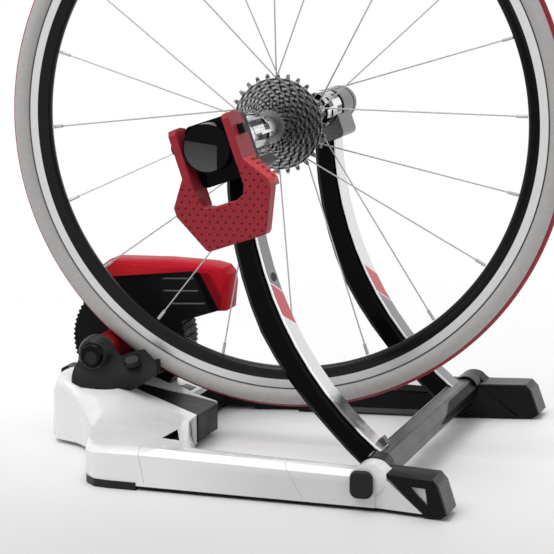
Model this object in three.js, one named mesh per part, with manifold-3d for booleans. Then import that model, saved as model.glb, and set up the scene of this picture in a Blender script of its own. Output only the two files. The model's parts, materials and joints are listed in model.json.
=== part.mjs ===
// A bicycle's rear wheel clamped by its axle in a floor trainer, with the tyre resting on the trainer's roller.
// Millimetres. +X is the riding direction, +Y is the non-drive side, +Z is up, and the floor is z = 0.
import * as THREE from "three";
import { mergeVertices } from "three/addons/utils/BufferGeometryUtils.js";
import Module from "manifold-3d";

const wasm = await Module();
wasm.setup();

// Driving dimensions
const beadSeat = 311;
const tyreHeight = 29;
const tyreWidth = 28;
const wheelLift = 50;
const hubSpan = 130;
const clearance = 0.3;
const overrun = 4;

// Angles and counts of facets
const halfTurn = Math.PI;
const quarterTurn = halfTurn / 2;
const fullTurn = 2 * halfTurn;
const degree = halfTurn / 180;
const wheelFacets = 60;
const roundFacets = 28;
const ringFacets = 20;
const smallFacets = 14;
const cornerFacets = 5;
const wireFacets = 6;

// Derived from the driving dimensions
const tyreRadius = beadSeat + tyreHeight;
const hubHeight = tyreRadius + wheelLift;
const hubEnd = hubSpan / 2;

// The roller touches the tyre at this angle behind the lowest point.
const roller = { radius: 18, halfLength: 34, shaft: 6, behind: 38.287 * degree };
const rollerReach = tyreRadius + roller.radius + clearance;
const rollerX = -rollerReach * Math.sin(roller.behind);
const rollerZ = hubHeight - rollerReach * Math.cos(roller.behind);

// Materials

function finish(color, roughness, metalness) {
  return new THREE.MeshStandardMaterial({ color, roughness, metalness });
}

const sidewallGrey = finish(0x8f8f8f, 0.8, 0);
const tubeBlack = finish(0x2a2a2a, 0.7, 0);
const rimBlack = finish(0x111113, 0.25, 0.5);
const brightSteel = finish(0xc9ccd0, 0.25, 1);
const satinAlloy = finish(0x9a9da2, 0.4, 0.9);
const chrome = finish(0xe8eaec, 0.08, 1);
const gunmetal = finish(0x55585c, 0.4, 0.7);
const paintBlack = finish(0x0d0d0f, 0.25, 0.2);
const mouldedBlack = finish(0x1b1b1d, 0.5, 0);
const charcoal = finish(0x2b2c2e, 0.65, 0);
const glossWhite = finish(0xf2f2f2, 0.3, 0);
const satinRed = finish(0xa81c2a, 0.45, 0);
const glossRed = finish(0xc40e1e, 0.2, 0);
const rubberBlack = finish(0x161616, 0.85, 0);

// Shape helpers

const weldDistance = 1e-4;

// A closed geometry as a solid that can be joined and cut.
function solid(geometry) {
  const bare = geometry.index ? geometry.toNonIndexed() : geometry.clone();
  bare.deleteAttribute("normal");
  bare.deleteAttribute("uv");
  const merged = mergeVertices(bare, weldDistance);
  const triVerts = new Uint32Array(merged.index.array);
  const vertProperties = merged.attributes.position.array;
  return new wasm.Manifold(new wasm.Mesh({ numProp: 3, vertProperties, triVerts }));
}

// A solid as a geometry with flat-shaded normals.
function geometryOf(body) {
  const mesh = body.getMesh();
  const geometry = new THREE.BufferGeometry();
  geometry.setAttribute("position", new THREE.BufferAttribute(mesh.vertProperties, 3));
  geometry.setIndex(new THREE.BufferAttribute(mesh.triVerts, 1));
  geometry.computeVertexNormals();
  return geometry;
}

function joined(...geometries) {
  return geometryOf(geometries.map(solid).reduce((whole, piece) => whole.add(piece)));
}

function cut(geometry, ...tools) {
  return geometryOf(tools.map(solid).reduce((rest, tool) => rest.subtract(tool), solid(geometry)));
}

function kept(geometry, region) {
  return geometryOf(solid(geometry).intersect(solid(region)));
}

// A ring or bar turned about the Y axis from [radius, y] points that run round the section.
function turned(points, facets, closed = true) {
  const profile = points.map(([radius, y]) => new THREE.Vector2(radius, y));
  if (closed) profile.push(profile[0].clone());
  return facingOut(new THREE.LatheGeometry(profile, facets));
}

// Turns the faces round where they point inwards.
function facingOut(geometry) {
  const indexed = geometry.index ? geometry : mergeVertices(geometry, weldDistance);
  const order = indexed.index.array;
  const p = indexed.attributes.position;
  const [a, b, c] = [new THREE.Vector3(), new THREE.Vector3(), new THREE.Vector3()];
  let volume = 0;
  for (let i = 0; i < order.length; i += 3) {
    a.fromBufferAttribute(p, order[i]);
    b.fromBufferAttribute(p, order[i + 1]);
    c.fromBufferAttribute(p, order[i + 2]);
    volume += a.dot(b.cross(c));
  }
  if (volume < 0) {
    for (let i = 0; i < order.length; i += 3) {
      [order[i + 1], order[i + 2]] = [order[i + 2], order[i + 1]];
    }
  }
  return indexed;
}

function outline(points) {
  return new THREE.Shape(points.map(([x, y]) => new THREE.Vector2(x, y)));
}

// A side view outline in [x, z], extruded across from yLow to yHigh.
function acrossY(shape, yLow, yHigh, options = {}) {
  const bevel = options.bevelSize ?? 0;
  const geometry = new THREE.ExtrudeGeometry(shape, {
    depth: yHigh - yLow - 2 * bevel,
    bevelEnabled: bevel > 0,
    bevelThickness: bevel,
    bevelSegments: 1,
    curveSegments: cornerFacets,
    ...options,
  });
  geometry.translate(0, 0, bevel);
  geometry.rotateX(quarterTurn);
  geometry.translate(0, yHigh, 0);
  return geometry;
}

// An outline in [y, z], extruded along X.
function acrossX(shape, xLow, xHigh) {
  const geometry = new THREE.ExtrudeGeometry(shape, { depth: xHigh - xLow, bevelEnabled: false });
  geometry.rotateX(quarterTurn);
  geometry.rotateZ(quarterTurn);
  geometry.translate(xLow, 0, 0);
  return geometry;
}

function box(low, high) {
  const size = high.map((value, i) => value - low[i]);
  const geometry = new THREE.BoxGeometry(...size);
  geometry.translate(...low.map((value, i) => value + size[i] / 2));
  return geometry;
}

// A round bar along Y, centred on x and z.
function barAlongY(radius, yLow, yHigh, x = 0, z = 0, facets = roundFacets) {
  const geometry = new THREE.CylinderGeometry(radius, radius, yHigh - yLow, facets);
  geometry.translate(x, (yLow + yHigh) / 2, z);
  return geometry;
}

// A body skinned over rings of equal point counts, closed by flat ends that flat() lays out in 2D.
function loft(sections, flat) {
  const clockwise = THREE.ShapeUtils.isClockWise(sections[0].map(flat));
  const rings = sections.map((ring) => (clockwise ? ring.slice().reverse() : ring));
  const positions = rings.flat().flatMap((point) => [point.x, point.y, point.z]);
  const count = rings[0].length;
  const index = [];
  for (let r = 0; r + 1 < rings.length; r++) {
    for (let i = 0; i < count; i++) {
      const a = r * count + i;
      const b = r * count + ((i + 1) % count);
      index.push(a, b, b + count, a, b + count, a + count);
    }
  }
  const last = (rings.length - 1) * count;
  THREE.ShapeUtils.triangulateShape(rings[0].map(flat), []).forEach(([a, b, c]) => index.push(a, c, b));
  THREE.ShapeUtils.triangulateShape(rings.at(-1).map(flat), []).forEach(([a, b, c]) => {
    index.push(last + a, last + b, last + c);
  });
  const geometry = new THREE.BufferGeometry();
  geometry.setAttribute("position", new THREE.Float32BufferAttribute(positions, 3));
  geometry.setIndex(index);
  return facingOut(geometry);
}

const flatInX = (point) => new THREE.Vector2(point.y, point.z);

function roundedRectangle(halfWidth, halfHeight, radius) {
  const shape = new THREE.Shape();
  shape.moveTo(-halfWidth + radius, -halfHeight);
  shape.lineTo(halfWidth - radius, -halfHeight);
  shape.absarc(halfWidth - radius, -halfHeight + radius, radius, -quarterTurn, 0);
  shape.absarc(halfWidth - radius, halfHeight - radius, radius, 0, quarterTurn);
  shape.absarc(-halfWidth + radius, halfHeight - radius, radius, quarterTurn, halfTurn);
  shape.absarc(-halfWidth + radius, -halfHeight + radius, radius, halfTurn, halfTurn + quarterTurn);
  return shape;
}

// The wheel: its sizes, about its own axle

const rim = {
  flangeTop: beadSeat + 5,
  trackFoot: beadSeat - 4.8,
  wellFloor: beadSeat - 7,
  grooveFloor: beadSeat - 9.5,
  inside: beadSeat - 19.5,
  halfWidth: 9.7,
  flangeWall: 1.8,
  shoulderHalf: 6.6,
  shoulderRise: 3,
  insideHalf: 3.4,
  grooveHalf: 4.5,
};

const tyre = {
  wall: 2.8,
  beadWall: 2.4,
  tubeFacets: 8,
  flankShares: [[0, 0.54], [0.09, 0.76], [0.4, 1], [0.7, 0.9], [0.9, 0.55]],
};

const valve = { radius: 3, length: 46, angle: 6 * degree };

function tyreGeometry() {
  const beadFoot = rim.wellFloor + clearance;
  const beadSide = rim.halfWidth - rim.flangeWall - clearance;
  const lowest = rim.flangeTop + clearance;
  const flank = (top, halfWidth) =>
    tyre.flankShares.map(([rise, share]) => [lowest + rise * (top - lowest), share * halfWidth]);
  const outer = [[beadFoot, beadSide], ...flank(tyreRadius, tyreWidth / 2), [tyreRadius, 0]];
  const inner = [
    [beadFoot, beadSide - tyre.beadWall],
    ...flank(tyreRadius - tyre.wall, tyreWidth / 2 - tyre.wall),
    [tyreRadius - tyre.wall, 0],
  ];
  const otherSide = (points) => points.slice(0, -1).reverse().map(([radius, y]) => [radius, -y]);
  const section = [...outer, ...otherSide(outer), ...[...inner, ...otherSide(inner)].reverse()];
  return turned(section, wheelFacets);
}

// The inner tube's centre line and radius fill the tyre, with a small gap all round.
function innerTubeGeometry() {
  const lowest = rim.flangeTop + clearance;
  const roof = tyreRadius - tyre.wall;
  const radius = tyreWidth / 2 - tyre.wall - 4 * clearance;
  const middle = Math.min(roof - clearance - radius, lowest + tyre.flankShares[2][0] * (roof - lowest));
  const ring = new THREE.TorusGeometry(middle, radius, tyre.tubeFacets, wheelFacets);
  ring.rotateX(quarterTurn);
  const stem = new THREE.CylinderGeometry(valve.radius, valve.radius, valve.length, smallFacets);
  stem.rotateX(quarterTurn);
  stem.translate(0, 0, middle - radius + overrun / 2 - valve.length / 2);
  stem.rotateY(valve.angle);
  return joined(ring, stem);
}

function rimGeometry() {
  const side = [
    [rim.inside, rim.insideHalf],
    [rim.inside + rim.shoulderRise, rim.shoulderHalf],
    [rim.trackFoot, rim.halfWidth],
    [rim.flangeTop, rim.halfWidth],
    [rim.flangeTop, rim.halfWidth - rim.flangeWall],
    [rim.wellFloor, rim.halfWidth - rim.flangeWall],
    [rim.wellFloor, rim.grooveHalf],
    [rim.grooveFloor, rim.insideHalf],
  ];
  const section = [...side, ...side.slice().reverse().map(([radius, y]) => [radius, -y])];
  const depth = rim.flangeTop - rim.inside + 2 * overrun;
  const hole = new THREE.CylinderGeometry(1, 1, depth, smallFacets);
  hole.scale(valve.radius + clearance, 1, valve.radius + clearance);
  hole.rotateX(quarterTurn);
  hole.translate(0, 0, rim.inside - overrun + depth / 2);
  hole.rotateY(valve.angle);
  return cut(turned(section, wheelFacets), hole);
}

// Hub, spokes and sprockets. Drive side is -Y.

const hub = {
  driveFlange: -16.5,
  otherFlange: 36,
  flangeHalf: 1.5,
  flangeRadius: 25,
  spokeCircle: 21.5,
  barrel: 12,
  neck: 17,
  shellDriveEnd: -21.5,
  shellOtherEnd: 49,
  axle: 5,
  axleBore: 2.8,
  locknut: 8.5,
  locknutLength: 6,
};

const spoke = {
  count: 20,
  radius: 1,
  nippleRadius: 2.1,
  nippleLength: 13,
  lean: 66 * degree,
  rimOffset: 1.2,
  firstAngle: 3 * degree,
};

function hubShellGeometry() {
  const bore = hub.axle + clearance;
  const otherOuter = hub.otherFlange + hub.flangeHalf;
  const otherInner = hub.otherFlange - hub.flangeHalf;
  const driveOuter = hub.driveFlange - hub.flangeHalf;
  const driveInner = hub.driveFlange + hub.flangeHalf;
  return turned(
    [
      [bore, hub.shellDriveEnd],
      [hub.neck, hub.shellDriveEnd],
      [hub.neck, driveOuter],
      [hub.flangeRadius, driveOuter],
      [hub.flangeRadius, driveInner],
      [hub.neck, driveInner],
      [hub.barrel, driveInner + (hub.neck - hub.barrel)],
      [hub.barrel, otherInner - (hub.neck - hub.barrel)],
      [hub.neck, otherInner],
      [hub.flangeRadius, otherInner],
      [hub.flangeRadius, otherOuter],
      [hub.neck, otherOuter],
      [hub.neck - hub.flangeHalf, hub.shellOtherEnd],
      [bore, hub.shellOtherEnd],
    ],
    ringFacets
  );
}

// A spoke with its nipple, from a flange face to the rim's inside.
function spokeGeometry(index) {
  const drive = index % 2 === 0;
  const leads = Math.floor(index / 2) % 2 === 0;
  const rimAngle = spoke.firstAngle + (index * fullTurn) / spoke.count;
  const hubAngle = rimAngle + (leads ? spoke.lean : -spoke.lean);
  const flange = drive ? hub.driveFlange : hub.otherFlange;
  const outward = Math.sign(flange);
  const faceSide = leads ? outward : -outward;
  const drift = faceSide === outward ? 4 * clearance : 2 * clearance;
  const start = new THREE.Vector3(
    hub.spokeCircle * Math.cos(hubAngle),
    flange + faceSide * (hub.flangeHalf + spoke.radius + drift),
    hub.spokeCircle * Math.sin(hubAngle)
  );
  const reach = rim.inside * Math.cos(halfTurn / wheelFacets) - 2 * clearance;
  const end = new THREE.Vector3(
    reach * Math.cos(rimAngle),
    outward * spoke.rimOffset,
    reach * Math.sin(rimAngle)
  );
  const length = start.distanceTo(end);
  const body = turned(
    [
      [0, 0],
      [spoke.radius, 0],
      [spoke.radius, length - spoke.nippleLength],
      [spoke.nippleRadius, length - spoke.nippleLength],
      [spoke.nippleRadius, length],
      [0, length],
    ],
    wireFacets,
    false
  );
  const along = end.clone().sub(start).normalize();
  body.applyQuaternion(new THREE.Quaternion().setFromUnitVectors(new THREE.Vector3(0, 1, 0), along));
  body.translate(start.x, start.y, start.z);
  return body;
}

function axleGeometry() {
  const otherNut = hub.shellOtherEnd + clearance;
  const driveNut = -hubEnd + hub.locknutLength;
  return turned(
    [
      [hub.axleBore, -hubEnd],
      [hub.locknut, -hubEnd],
      [hub.locknut, driveNut],
      [hub.axle, driveNut],
      [hub.axle, otherNut],
      [hub.locknut, otherNut],
      [hub.locknut, hubEnd],
      [hub.axleBore, hubEnd],
    ],
    smallFacets
  );
}

const chainPitch = 12.7;

const cassette = {
  bodyRadius: 17,
  thickness: 1.8,
  spacerRadius: 20,
  toothTip: 2.4,
  toothRoot: 3.4,
  rootShare: 0.24,
  tipShare: 0.11,
  largeTeeth: [28, 24, 21, 19, 17],
  smallTeeth: [15, 14, 13, 12, 11],
  lockringRadius: 18.5,
  lockringLength: 1.5,
  start: hub.shellDriveEnd - clearance,
};

// The sprockets share out the room between the hub shell and the lockring.
const sprocketCount = cassette.largeTeeth.length + cassette.smallTeeth.length;
const cassetteEnd = hub.locknutLength + 2 * clearance + cassette.lockringLength - hubEnd;
const sprocketPitch = (cassette.start - cassette.thickness - cassetteEnd) / (sprocketCount - 1);

function sprocketShape(teeth) {
  const pitchRadius = chainPitch / 2 / Math.sin(halfTurn / teeth);
  const step = fullTurn / teeth;
  const root = pitchRadius - cassette.toothRoot;
  const tip = pitchRadius + cassette.toothTip;
  const points = [];
  for (let i = 0; i < teeth; i++) {
    for (const [radius, share] of [
      [root, -cassette.rootShare],
      [tip, -cassette.tipShare],
      [tip, cassette.tipShare],
      [root, cassette.rootShare],
    ]) {
      const angle = (i + share) * step;
      points.push([radius * Math.cos(angle), radius * Math.sin(angle)]);
    }
  }
  const shape = outline(points);
  const bore = new THREE.Path();
  bore.absarc(0, 0, cassette.bodyRadius + clearance, 0, fullTurn, true);
  shape.holes.push(bore);
  return shape;
}

// Sprockets on their shared spacers, largest towards the wheel.
function clusterGeometry(teethList, firstPlace) {
  const inner = cassette.bodyRadius + clearance;
  const pieces = teethList.map((teeth, i) => {
    const yHigh = cassette.start - (firstPlace + i) * sprocketPitch;
    return acrossY(sprocketShape(teeth), yHigh - cassette.thickness, yHigh, { curveSegments: ringFacets / 2 });
  });
  const yTop = cassette.start - firstPlace * sprocketPitch;
  const last = firstPlace + teethList.length - 1;
  const yBottom = cassette.start - last * sprocketPitch - cassette.thickness;
  const sleeve = [[inner, yBottom], [cassette.spacerRadius, yBottom], [cassette.spacerRadius, yTop], [inner, yTop]];
  return joined(turned(sleeve, ringFacets), ...pieces);
}

function freehubGeometry() {
  const bore = hub.axle + clearance;
  const low = cassetteEnd + clearance;
  return turned(
    [[bore, low], [cassette.bodyRadius, low], [cassette.bodyRadius, cassette.start], [bore, cassette.start]],
    ringFacets
  );
}

function lockringGeometry() {
  const high = cassetteEnd - clearance;
  const low = -hubEnd + hub.locknutLength + clearance;
  const bore = hub.axle + clearance;
  return turned([[bore, low], [cassette.lockringRadius, low], [cassette.lockringRadius, high], [bore, high]], ringFacets);
}

// The skewer that the trainer holds: rod, nut and cam lever

const skewer = {
  rod: 2.5,
  dropout: 6.3,
  head: 12.5,
  headLength: 14,
  taper: 6,
  nose: 10,
  noseLength: 38,
  rodInNose: 44,
  leverLength: 62,
  leverWidth: 13,
  leverThickness: 6,
  leverAngle: 200 * degree,
  tipShare: 0.7,
};

const skewerFace = hubEnd + skewer.dropout;
const skewerTip = skewerFace + skewer.headLength + skewer.taper + skewer.noseLength;

function skewerRodGeometry() {
  const end = skewerFace + skewer.rodInNose;
  return barAlongY(skewer.rod, -end, end, 0, 0, smallFacets);
}

// The blind head that screws onto the rod, pointing to +Y.
function skewerHeadGeometry() {
  const bore = skewer.rod + clearance;
  const boreEnd = skewerFace + skewer.rodInNose + clearance;
  const headEnd = skewerFace + skewer.headLength;
  return turned(
    [
      [0, skewerTip],
      [skewer.nose, skewerTip],
      [skewer.nose, headEnd + skewer.taper],
      [skewer.head, headEnd],
      [skewer.head, skewerFace],
      [bore, skewerFace],
      [bore, boreEnd],
      [0, boreEnd],
    ],
    ringFacets,
    false
  );
}

function skewerLeverGeometry() {
  const shape = new THREE.Shape();
  const half = skewer.leverWidth / 2;
  const tipHalf = half * skewer.tipShare;
  shape.moveTo(0, -half);
  shape.lineTo(skewer.leverLength - tipHalf, -tipHalf);
  shape.absarc(skewer.leverLength - tipHalf, 0, tipHalf, -quarterTurn, quarterTurn);
  shape.lineTo(0, half);
  const low = skewerFace + (skewer.headLength - skewer.leverThickness) / 2;
  const arm = acrossY(shape, low, low + skewer.leverThickness);
  arm.rotateY(-skewer.leverAngle);
  const bore = barAlongY(skewer.rod + clearance, 0, skewerTip, 0, 0, smallFacets);
  return joined(skewerHeadGeometry(), cut(arm, bore));
}

// The clamps on the two uprights, about the axle. Their own frame leans back by the tilt.

const clamp = {
  tilt: 19 * degree,
  mouth: 112,
  crownRadius: 22.5,
  crownWall: 6,
  crownDepth: 10,
  crownSlots: 8,
  slotWidth: 7,
  nearRing: 84,
  farRing: 62,
  pocketDepth: 2,
  pocketWidth: 7,
  pocketLength: 9,
  pocketStart: 14,
  stem: 13,
  nearBarrel: 26.5,
  nearStart: 200,
  nearEnd: 281,
  nearChannel: 205,
  blockEnd: 256,
  blockTop: 28,
  nearHalf: 26.5,
  farBarrel: 21.5,
  farStart: 188,
  farEnd: 245,
  farHalf: 20,
  farStem: 225,
  grooveStart: 231,
  grooveLength: 4,
  grooveDepth: 2,
  saddleTop: 10,
  saddleFoot: 41,
  corner: 7,
  endWall: 5,
};

const lever = {
  front: 283,
  thickness: 21,
  hornDepth: 46,
  hornInner: 27.5,
  hornOuter: 36,
  hornTop: 30,
  hornRise: [[0, 0.5], [0.24, 0.93], [0.54, 1], [0.9, 0.97], [1, 0.8]],
  flareStart: 22,
  flareTop: 50,
  flareFoot: 60,
  flareHalf: 56,
  flareDepth: 42,
  ribs: 5,
  ribHeight: 3,
  footHalf: 36,
  foot: 106,
  windowFoot: 62,
  windowRound: 13,
  cornerShare: 0.3,
  round: 3,
  bevel: 1.5,
};

const pin = {
  rise: 9,
  outward: 262,
  radius: 4.5,
  endLength: 7,
  endHalf: 5.5,
  camRadius: 8,
  camOffset: 4,
  camLead: 30 * degree,
  camHalf: 8,
};

// Cup with a castellated crown, its mouth facing the wheel. Built towards +Y from the mouth.
function cupGeometry(ringLength, stemEnd) {
  const mouth = clamp.mouth;
  const floor = mouth + clamp.crownDepth;
  const socket = skewer.nose + 2 * clearance;
  const ringEnd = mouth + ringLength;
  const body = turned(
    [
      [0, skewerTip + clearance],
      [socket, skewerTip + clearance],
      [socket, floor],
      [clamp.crownRadius - clamp.crownWall, floor],
      [clamp.crownRadius - clamp.crownWall, mouth],
      [clamp.crownRadius, mouth],
      [clamp.crownRadius, ringEnd],
      [clamp.stem, ringEnd],
      [clamp.stem, stemEnd],
      [0, stemEnd],
    ],
    roundFacets,
    false
  );
  const tools = [];
  for (let i = 0; i < clamp.crownSlots; i++) {
    const angle = (i * fullTurn) / clamp.crownSlots;
    const slotHalf = clamp.slotWidth / 2;
    const slotInner = clamp.crownRadius - clamp.crownWall - overrun / 2;
    const slot = box(
      [slotInner, mouth - overrun, -slotHalf],
      [clamp.crownRadius + overrun, floor - clearance, slotHalf]
    );
    slot.rotateY(angle);
    const pocketHalf = clamp.pocketWidth / 2;
    const pocket = box(
      [clamp.crownRadius - clamp.pocketDepth, mouth + clamp.pocketStart, -pocketHalf],
      [clamp.crownRadius + overrun, mouth + clamp.pocketStart + clamp.pocketLength, pocketHalf]
    );
    pocket.rotateY(angle + halfTurn / clamp.crownSlots);
    tools.push(slot, pocket);
  }
  return cut(body, ...tools);
}

// A block with rounded long edges, between two heights in the clamp's frame.
function roundedBlock(halfWidth, low, high, yLow, yHigh, grow = 0) {
  const shape = roundedRectangle(halfWidth + grow, (high - low) / 2 + grow, clamp.corner);
  const block = acrossY(shape, yLow, yHigh);
  block.translate(0, 0, (low + high) / 2);
  return block;
}

// The saddle that sits on the upright, below the cup.
function saddleBlock(halfWidth, yEnd) {
  return roundedBlock(halfWidth, -clamp.saddleFoot, -clamp.saddleTop, upright.inner - overrun, yEnd);
}

function channel(yEnd) {
  return barAlongY(clamp.crownRadius + 2 * clearance, upright.inner - 2 * overrun, yEnd);
}

function nearHousingGeometry() {
  const barrel = barAlongY(clamp.nearBarrel, clamp.nearStart, clamp.nearEnd);
  const block = roundedBlock(clamp.nearHalf, -clamp.saddleFoot, clamp.blockTop, clamp.nearStart, clamp.blockEnd);
  const saddle = saddleBlock(clamp.nearHalf, clamp.nearStart + overrun);
  const bore = barAlongY(clamp.stem + clearance, clamp.nearStart - overrun, clamp.nearEnd - clamp.endWall);
  const pinHole = alongPin(pin.radius + clearance, lever.hornInner + overrun);
  return cut(joined(barrel, block, saddle), channel(clamp.nearChannel), bore, joined(pinHole, camRoom()));
}

function farHousingGeometry() {
  const barrel = barAlongY(clamp.farBarrel, clamp.farStart, clamp.farEnd);
  const saddle = saddleBlock(clamp.farHalf, clamp.farStart + clamp.farBarrel);
  const bore = barAlongY(clamp.stem + clearance, clamp.farStart - overrun, clamp.farEnd - clamp.endWall);
  const grooveFloor = clamp.farBarrel - clamp.grooveDepth;
  const grooveEnd = clamp.grooveStart + clamp.grooveLength;
  const groove = turned(
    [
      [grooveFloor, clamp.grooveStart],
      [clamp.farBarrel + overrun, clamp.grooveStart],
      [clamp.farBarrel + overrun, grooveEnd],
      [grooveFloor, grooveEnd],
    ],
    roundFacets
  );
  return cut(joined(barrel, saddle), channel(clamp.farStart), bore, groove);
}

// A round bar along the leaning X axis at the lever's pin.
function alongPin(radius, halfLength, facets = smallFacets) {
  const bar = new THREE.CylinderGeometry(radius, radius, 2 * halfLength, facets);
  bar.rotateZ(quarterTurn);
  bar.translate(0, pin.outward, pin.rise);
  return bar;
}

// Space inside the housing in which the cam turns.
function camRoom() {
  const sweep = pin.camOffset + pin.camRadius + 2 * clearance;
  const half = pin.camHalf + 2 * clearance;
  return box([-half, pin.outward - sweep, 0], [half, pin.outward + sweep, pin.rise + sweep]);
}

// How far the cam's edge stands from the pin's axis towards the cup, with the lever closed.
const camReach = pin.camOffset * Math.cos(pin.camLead) + pin.camRadius;

function leverPinGeometry() {
  const shaftEnd = lever.hornOuter + clearance;
  const shaft = alongPin(pin.radius, shaftEnd);
  const cam = alongPin(pin.camRadius, pin.camHalf, ringFacets);
  cam.translate(0, -pin.camOffset * Math.cos(pin.camLead), -pin.camOffset * Math.sin(pin.camLead));
  const roundEnd = alongPin(pin.endHalf, pin.endLength / 2);
  roundEnd.translate(-shaftEnd - pin.endLength / 2, 0, 0);
  const squareEnd = box(
    [shaftEnd, pin.outward - pin.endHalf, pin.rise - pin.endHalf],
    [shaftEnd + pin.endLength, pin.outward + pin.endHalf, pin.rise + pin.endHalf]
  );
  return joined(shaft, cam, roundEnd, squareEnd);
}

function leverOutline() {
  const half = [
    [lever.hornInner, -lever.flareStart],
    [lever.hornOuter, -lever.flareStart],
    [lever.flareHalf, -lever.flareTop],
    [lever.flareHalf, -lever.flareFoot],
    [lever.footHalf, -lever.foot + lever.round],
    [lever.footHalf - lever.round, -lever.foot],
  ];
  const cornerRound = lever.cornerShare * lever.windowRound;
  const window = [
    [lever.hornInner - lever.windowRound, -lever.windowFoot],
    [lever.hornInner - cornerRound, -lever.windowFoot + cornerRound],
    [lever.hornInner, -lever.windowFoot + lever.windowRound],
  ];
  const right = [...window, ...half];
  const left = right.slice().reverse().map(([u, w]) => [-u, w]);
  return outline([...right, ...left]);
}

// A horn seen from its side, deepest away from the lever's face, with a rounded top.
function hornGeometry(side) {
  const back = lever.front - lever.hornDepth;
  const top = lever.hornRise.map(([along, share]) => [back + along * lever.hornDepth, share * lever.hornTop]);
  const shape = outline([[back, -lever.flareStart - overrun], ...top, [lever.front, -lever.flareStart - overrun]]);
  const low = side > 0 ? lever.hornInner : -lever.hornOuter;
  return acrossX(shape, low, low + lever.hornOuter - lever.hornInner);
}

// The stepped grip behind the flare, below a horn.
function ribsGeometry(side) {
  const run = [lever.flareHalf - lever.hornOuter, lever.flareStart - lever.flareTop];
  const length = Math.hypot(...run);
  const inward = [run[1] / length, -run[0] / length];
  const steps = [];
  for (let i = 0; i < lever.ribs; i++) {
    for (const [share, depth] of [[0, 0], [1 / 2, 0], [1 / 2, lever.ribHeight], [1, lever.ribHeight]]) {
      const along = (i + share) / lever.ribs;
      steps.push([
        lever.hornOuter + along * run[0] + depth * inward[0],
        -lever.flareStart + along * run[1] + depth * inward[1],
      ]);
    }
  }
  const points = [
    [lever.hornInner, -overrun],
    [lever.hornOuter, -overrun],
    ...steps,
    [lever.flareHalf - lever.ribHeight, -lever.flareFoot],
    [lever.hornInner, -lever.flareFoot],
  ];
  const shape = outline(points.map(([u, w]) => [side * u, w]));
  return acrossY(shape, lever.front - lever.flareDepth, lever.front - lever.thickness + 2 * lever.bevel);
}

// Forked clamp lever, towards +Y: a grip plate with two deeper horns.
function leverGeometry() {
  const plate = acrossY(leverOutline(), lever.front - lever.thickness, lever.front, {
    bevelSize: lever.bevel,
    bevelOffset: -lever.bevel,
  });
  const sides = [-1, 1].flatMap((side) => [hornGeometry(side), ribsGeometry(side)]);
  return cut(joined(plate, ...sides), alongPin(pin.radius + clearance, lever.hornOuter + overrun));
}

// The A-frame: crossbar and two curved uprights

const pivotX = 175;
const pivotZ = 39;

const crossbar = {
  halfDepth: 15.5,
  halfHeight: 12,
  journal: 9,
  journalLength: 33,
  flatShare: 0.8,
};

const upright = {
  inner: 156,
  width: 36,
  arcDrop: 26,
  topX: 5,
  topWidth: 27,
  topStraight: 18,
  footWidth: 38,
  footBack: 15,
  footDrop: 3.7,
  steps: 12,
  corner: 5,
  faceThickness: 3,
  faceInset: 1.5,
};

// The upright's arc starts straight down from the clamp and ends at the crossbar.
const arcRun = pivotX - upright.footBack - upright.topX;
const arcTop = hubHeight - upright.arcDrop;
const arcFall = arcTop - pivotZ + upright.footDrop;
const arcRadius = (arcRun ** 2 + arcFall ** 2) / (2 * arcRun);
const arcSweep = 2 * Math.atan(arcRun / arcFall);
const arcCentre = upright.topX + arcRadius;
const uprightOuter = upright.inner + upright.width;

function crossbarSection(grow) {
  const points = [];
  for (let i = 0; i < ringFacets; i++) {
    const angle = ((i + 1 / 2) * fullTurn) / ringFacets;
    const squared = (value) => Math.sign(value) * Math.abs(value) ** crossbar.flatShare;
    points.push([
      (crossbar.halfDepth + grow) * squared(Math.cos(angle)),
      (crossbar.halfHeight + grow) * squared(Math.sin(angle)),
    ]);
  }
  return outline(points);
}

function crossbarGeometry() {
  const end = crossbarEnd();
  const tube = acrossY(crossbarSection(0), -end, end);
  const journalEnd = end + crossbar.journalLength;
  const journal = barAlongY(crossbar.journal, -journalEnd, journalEnd, 0, 0, ringFacets);
  const whole = joined(tube, journal);
  whole.translate(pivotX, 0, pivotZ);
  return whole;
}

// Cross-sections along the upright's arc. The span runs across the arc, from front to back.
function uprightRings(spanOf, yInner, yOuter, corner) {
  const ring = (angle, lift, share) => {
    const [front, back] = spanOf(share);
    const points = [
      [front + corner, yInner],
      [back - corner, yInner],
      [back, yInner + corner],
      [back, yOuter - corner],
      [back - corner, yOuter],
      [front + corner, yOuter],
      [front, yOuter - corner],
      [front, yInner + corner],
    ];
    return points.map(([across, y]) => {
      const radius = arcRadius + across;
      return new THREE.Vector3(arcCentre - radius * Math.cos(angle), y, arcTop - radius * Math.sin(angle) + lift);
    });
  };
  const rings = [ring(0, upright.topStraight, 0)];
  for (let i = 0; i <= upright.steps; i++) {
    const share = i / upright.steps;
    rings.push(ring(share * arcSweep, 0, share));
  }
  return rings;
}

function uprightHalfWidth(share) {
  return (upright.topWidth + share * (upright.footWidth - upright.topWidth)) / 2;
}

const flatAcross = (point) => new THREE.Vector2(Math.hypot(point.x - arcCentre, point.z - hubHeight), point.y);

// What is left of a piece between the clamp's saddle and the crossbar.
function betweenEnds(geometry) {
  const [low, high] = [upright.inner - overrun, uprightOuter + overrun];
  const saddle = roundedBlock(clamp.nearHalf, -clamp.saddleFoot, -clamp.saddleTop, low, high, clearance);
  saddle.rotateY(-clamp.tilt);
  saddle.translate(0, 0, hubHeight);
  const bar = acrossY(crossbarSection(clearance), low, high);
  bar.translate(pivotX, 0, pivotZ);
  const whole = solid(geometry).subtract(solid(saddle)).subtract(solid(bar));
  const largest = whole.decompose().sort((a, b) => b.volume() - a.volume())[0];
  return geometryOf(largest);
}

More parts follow.
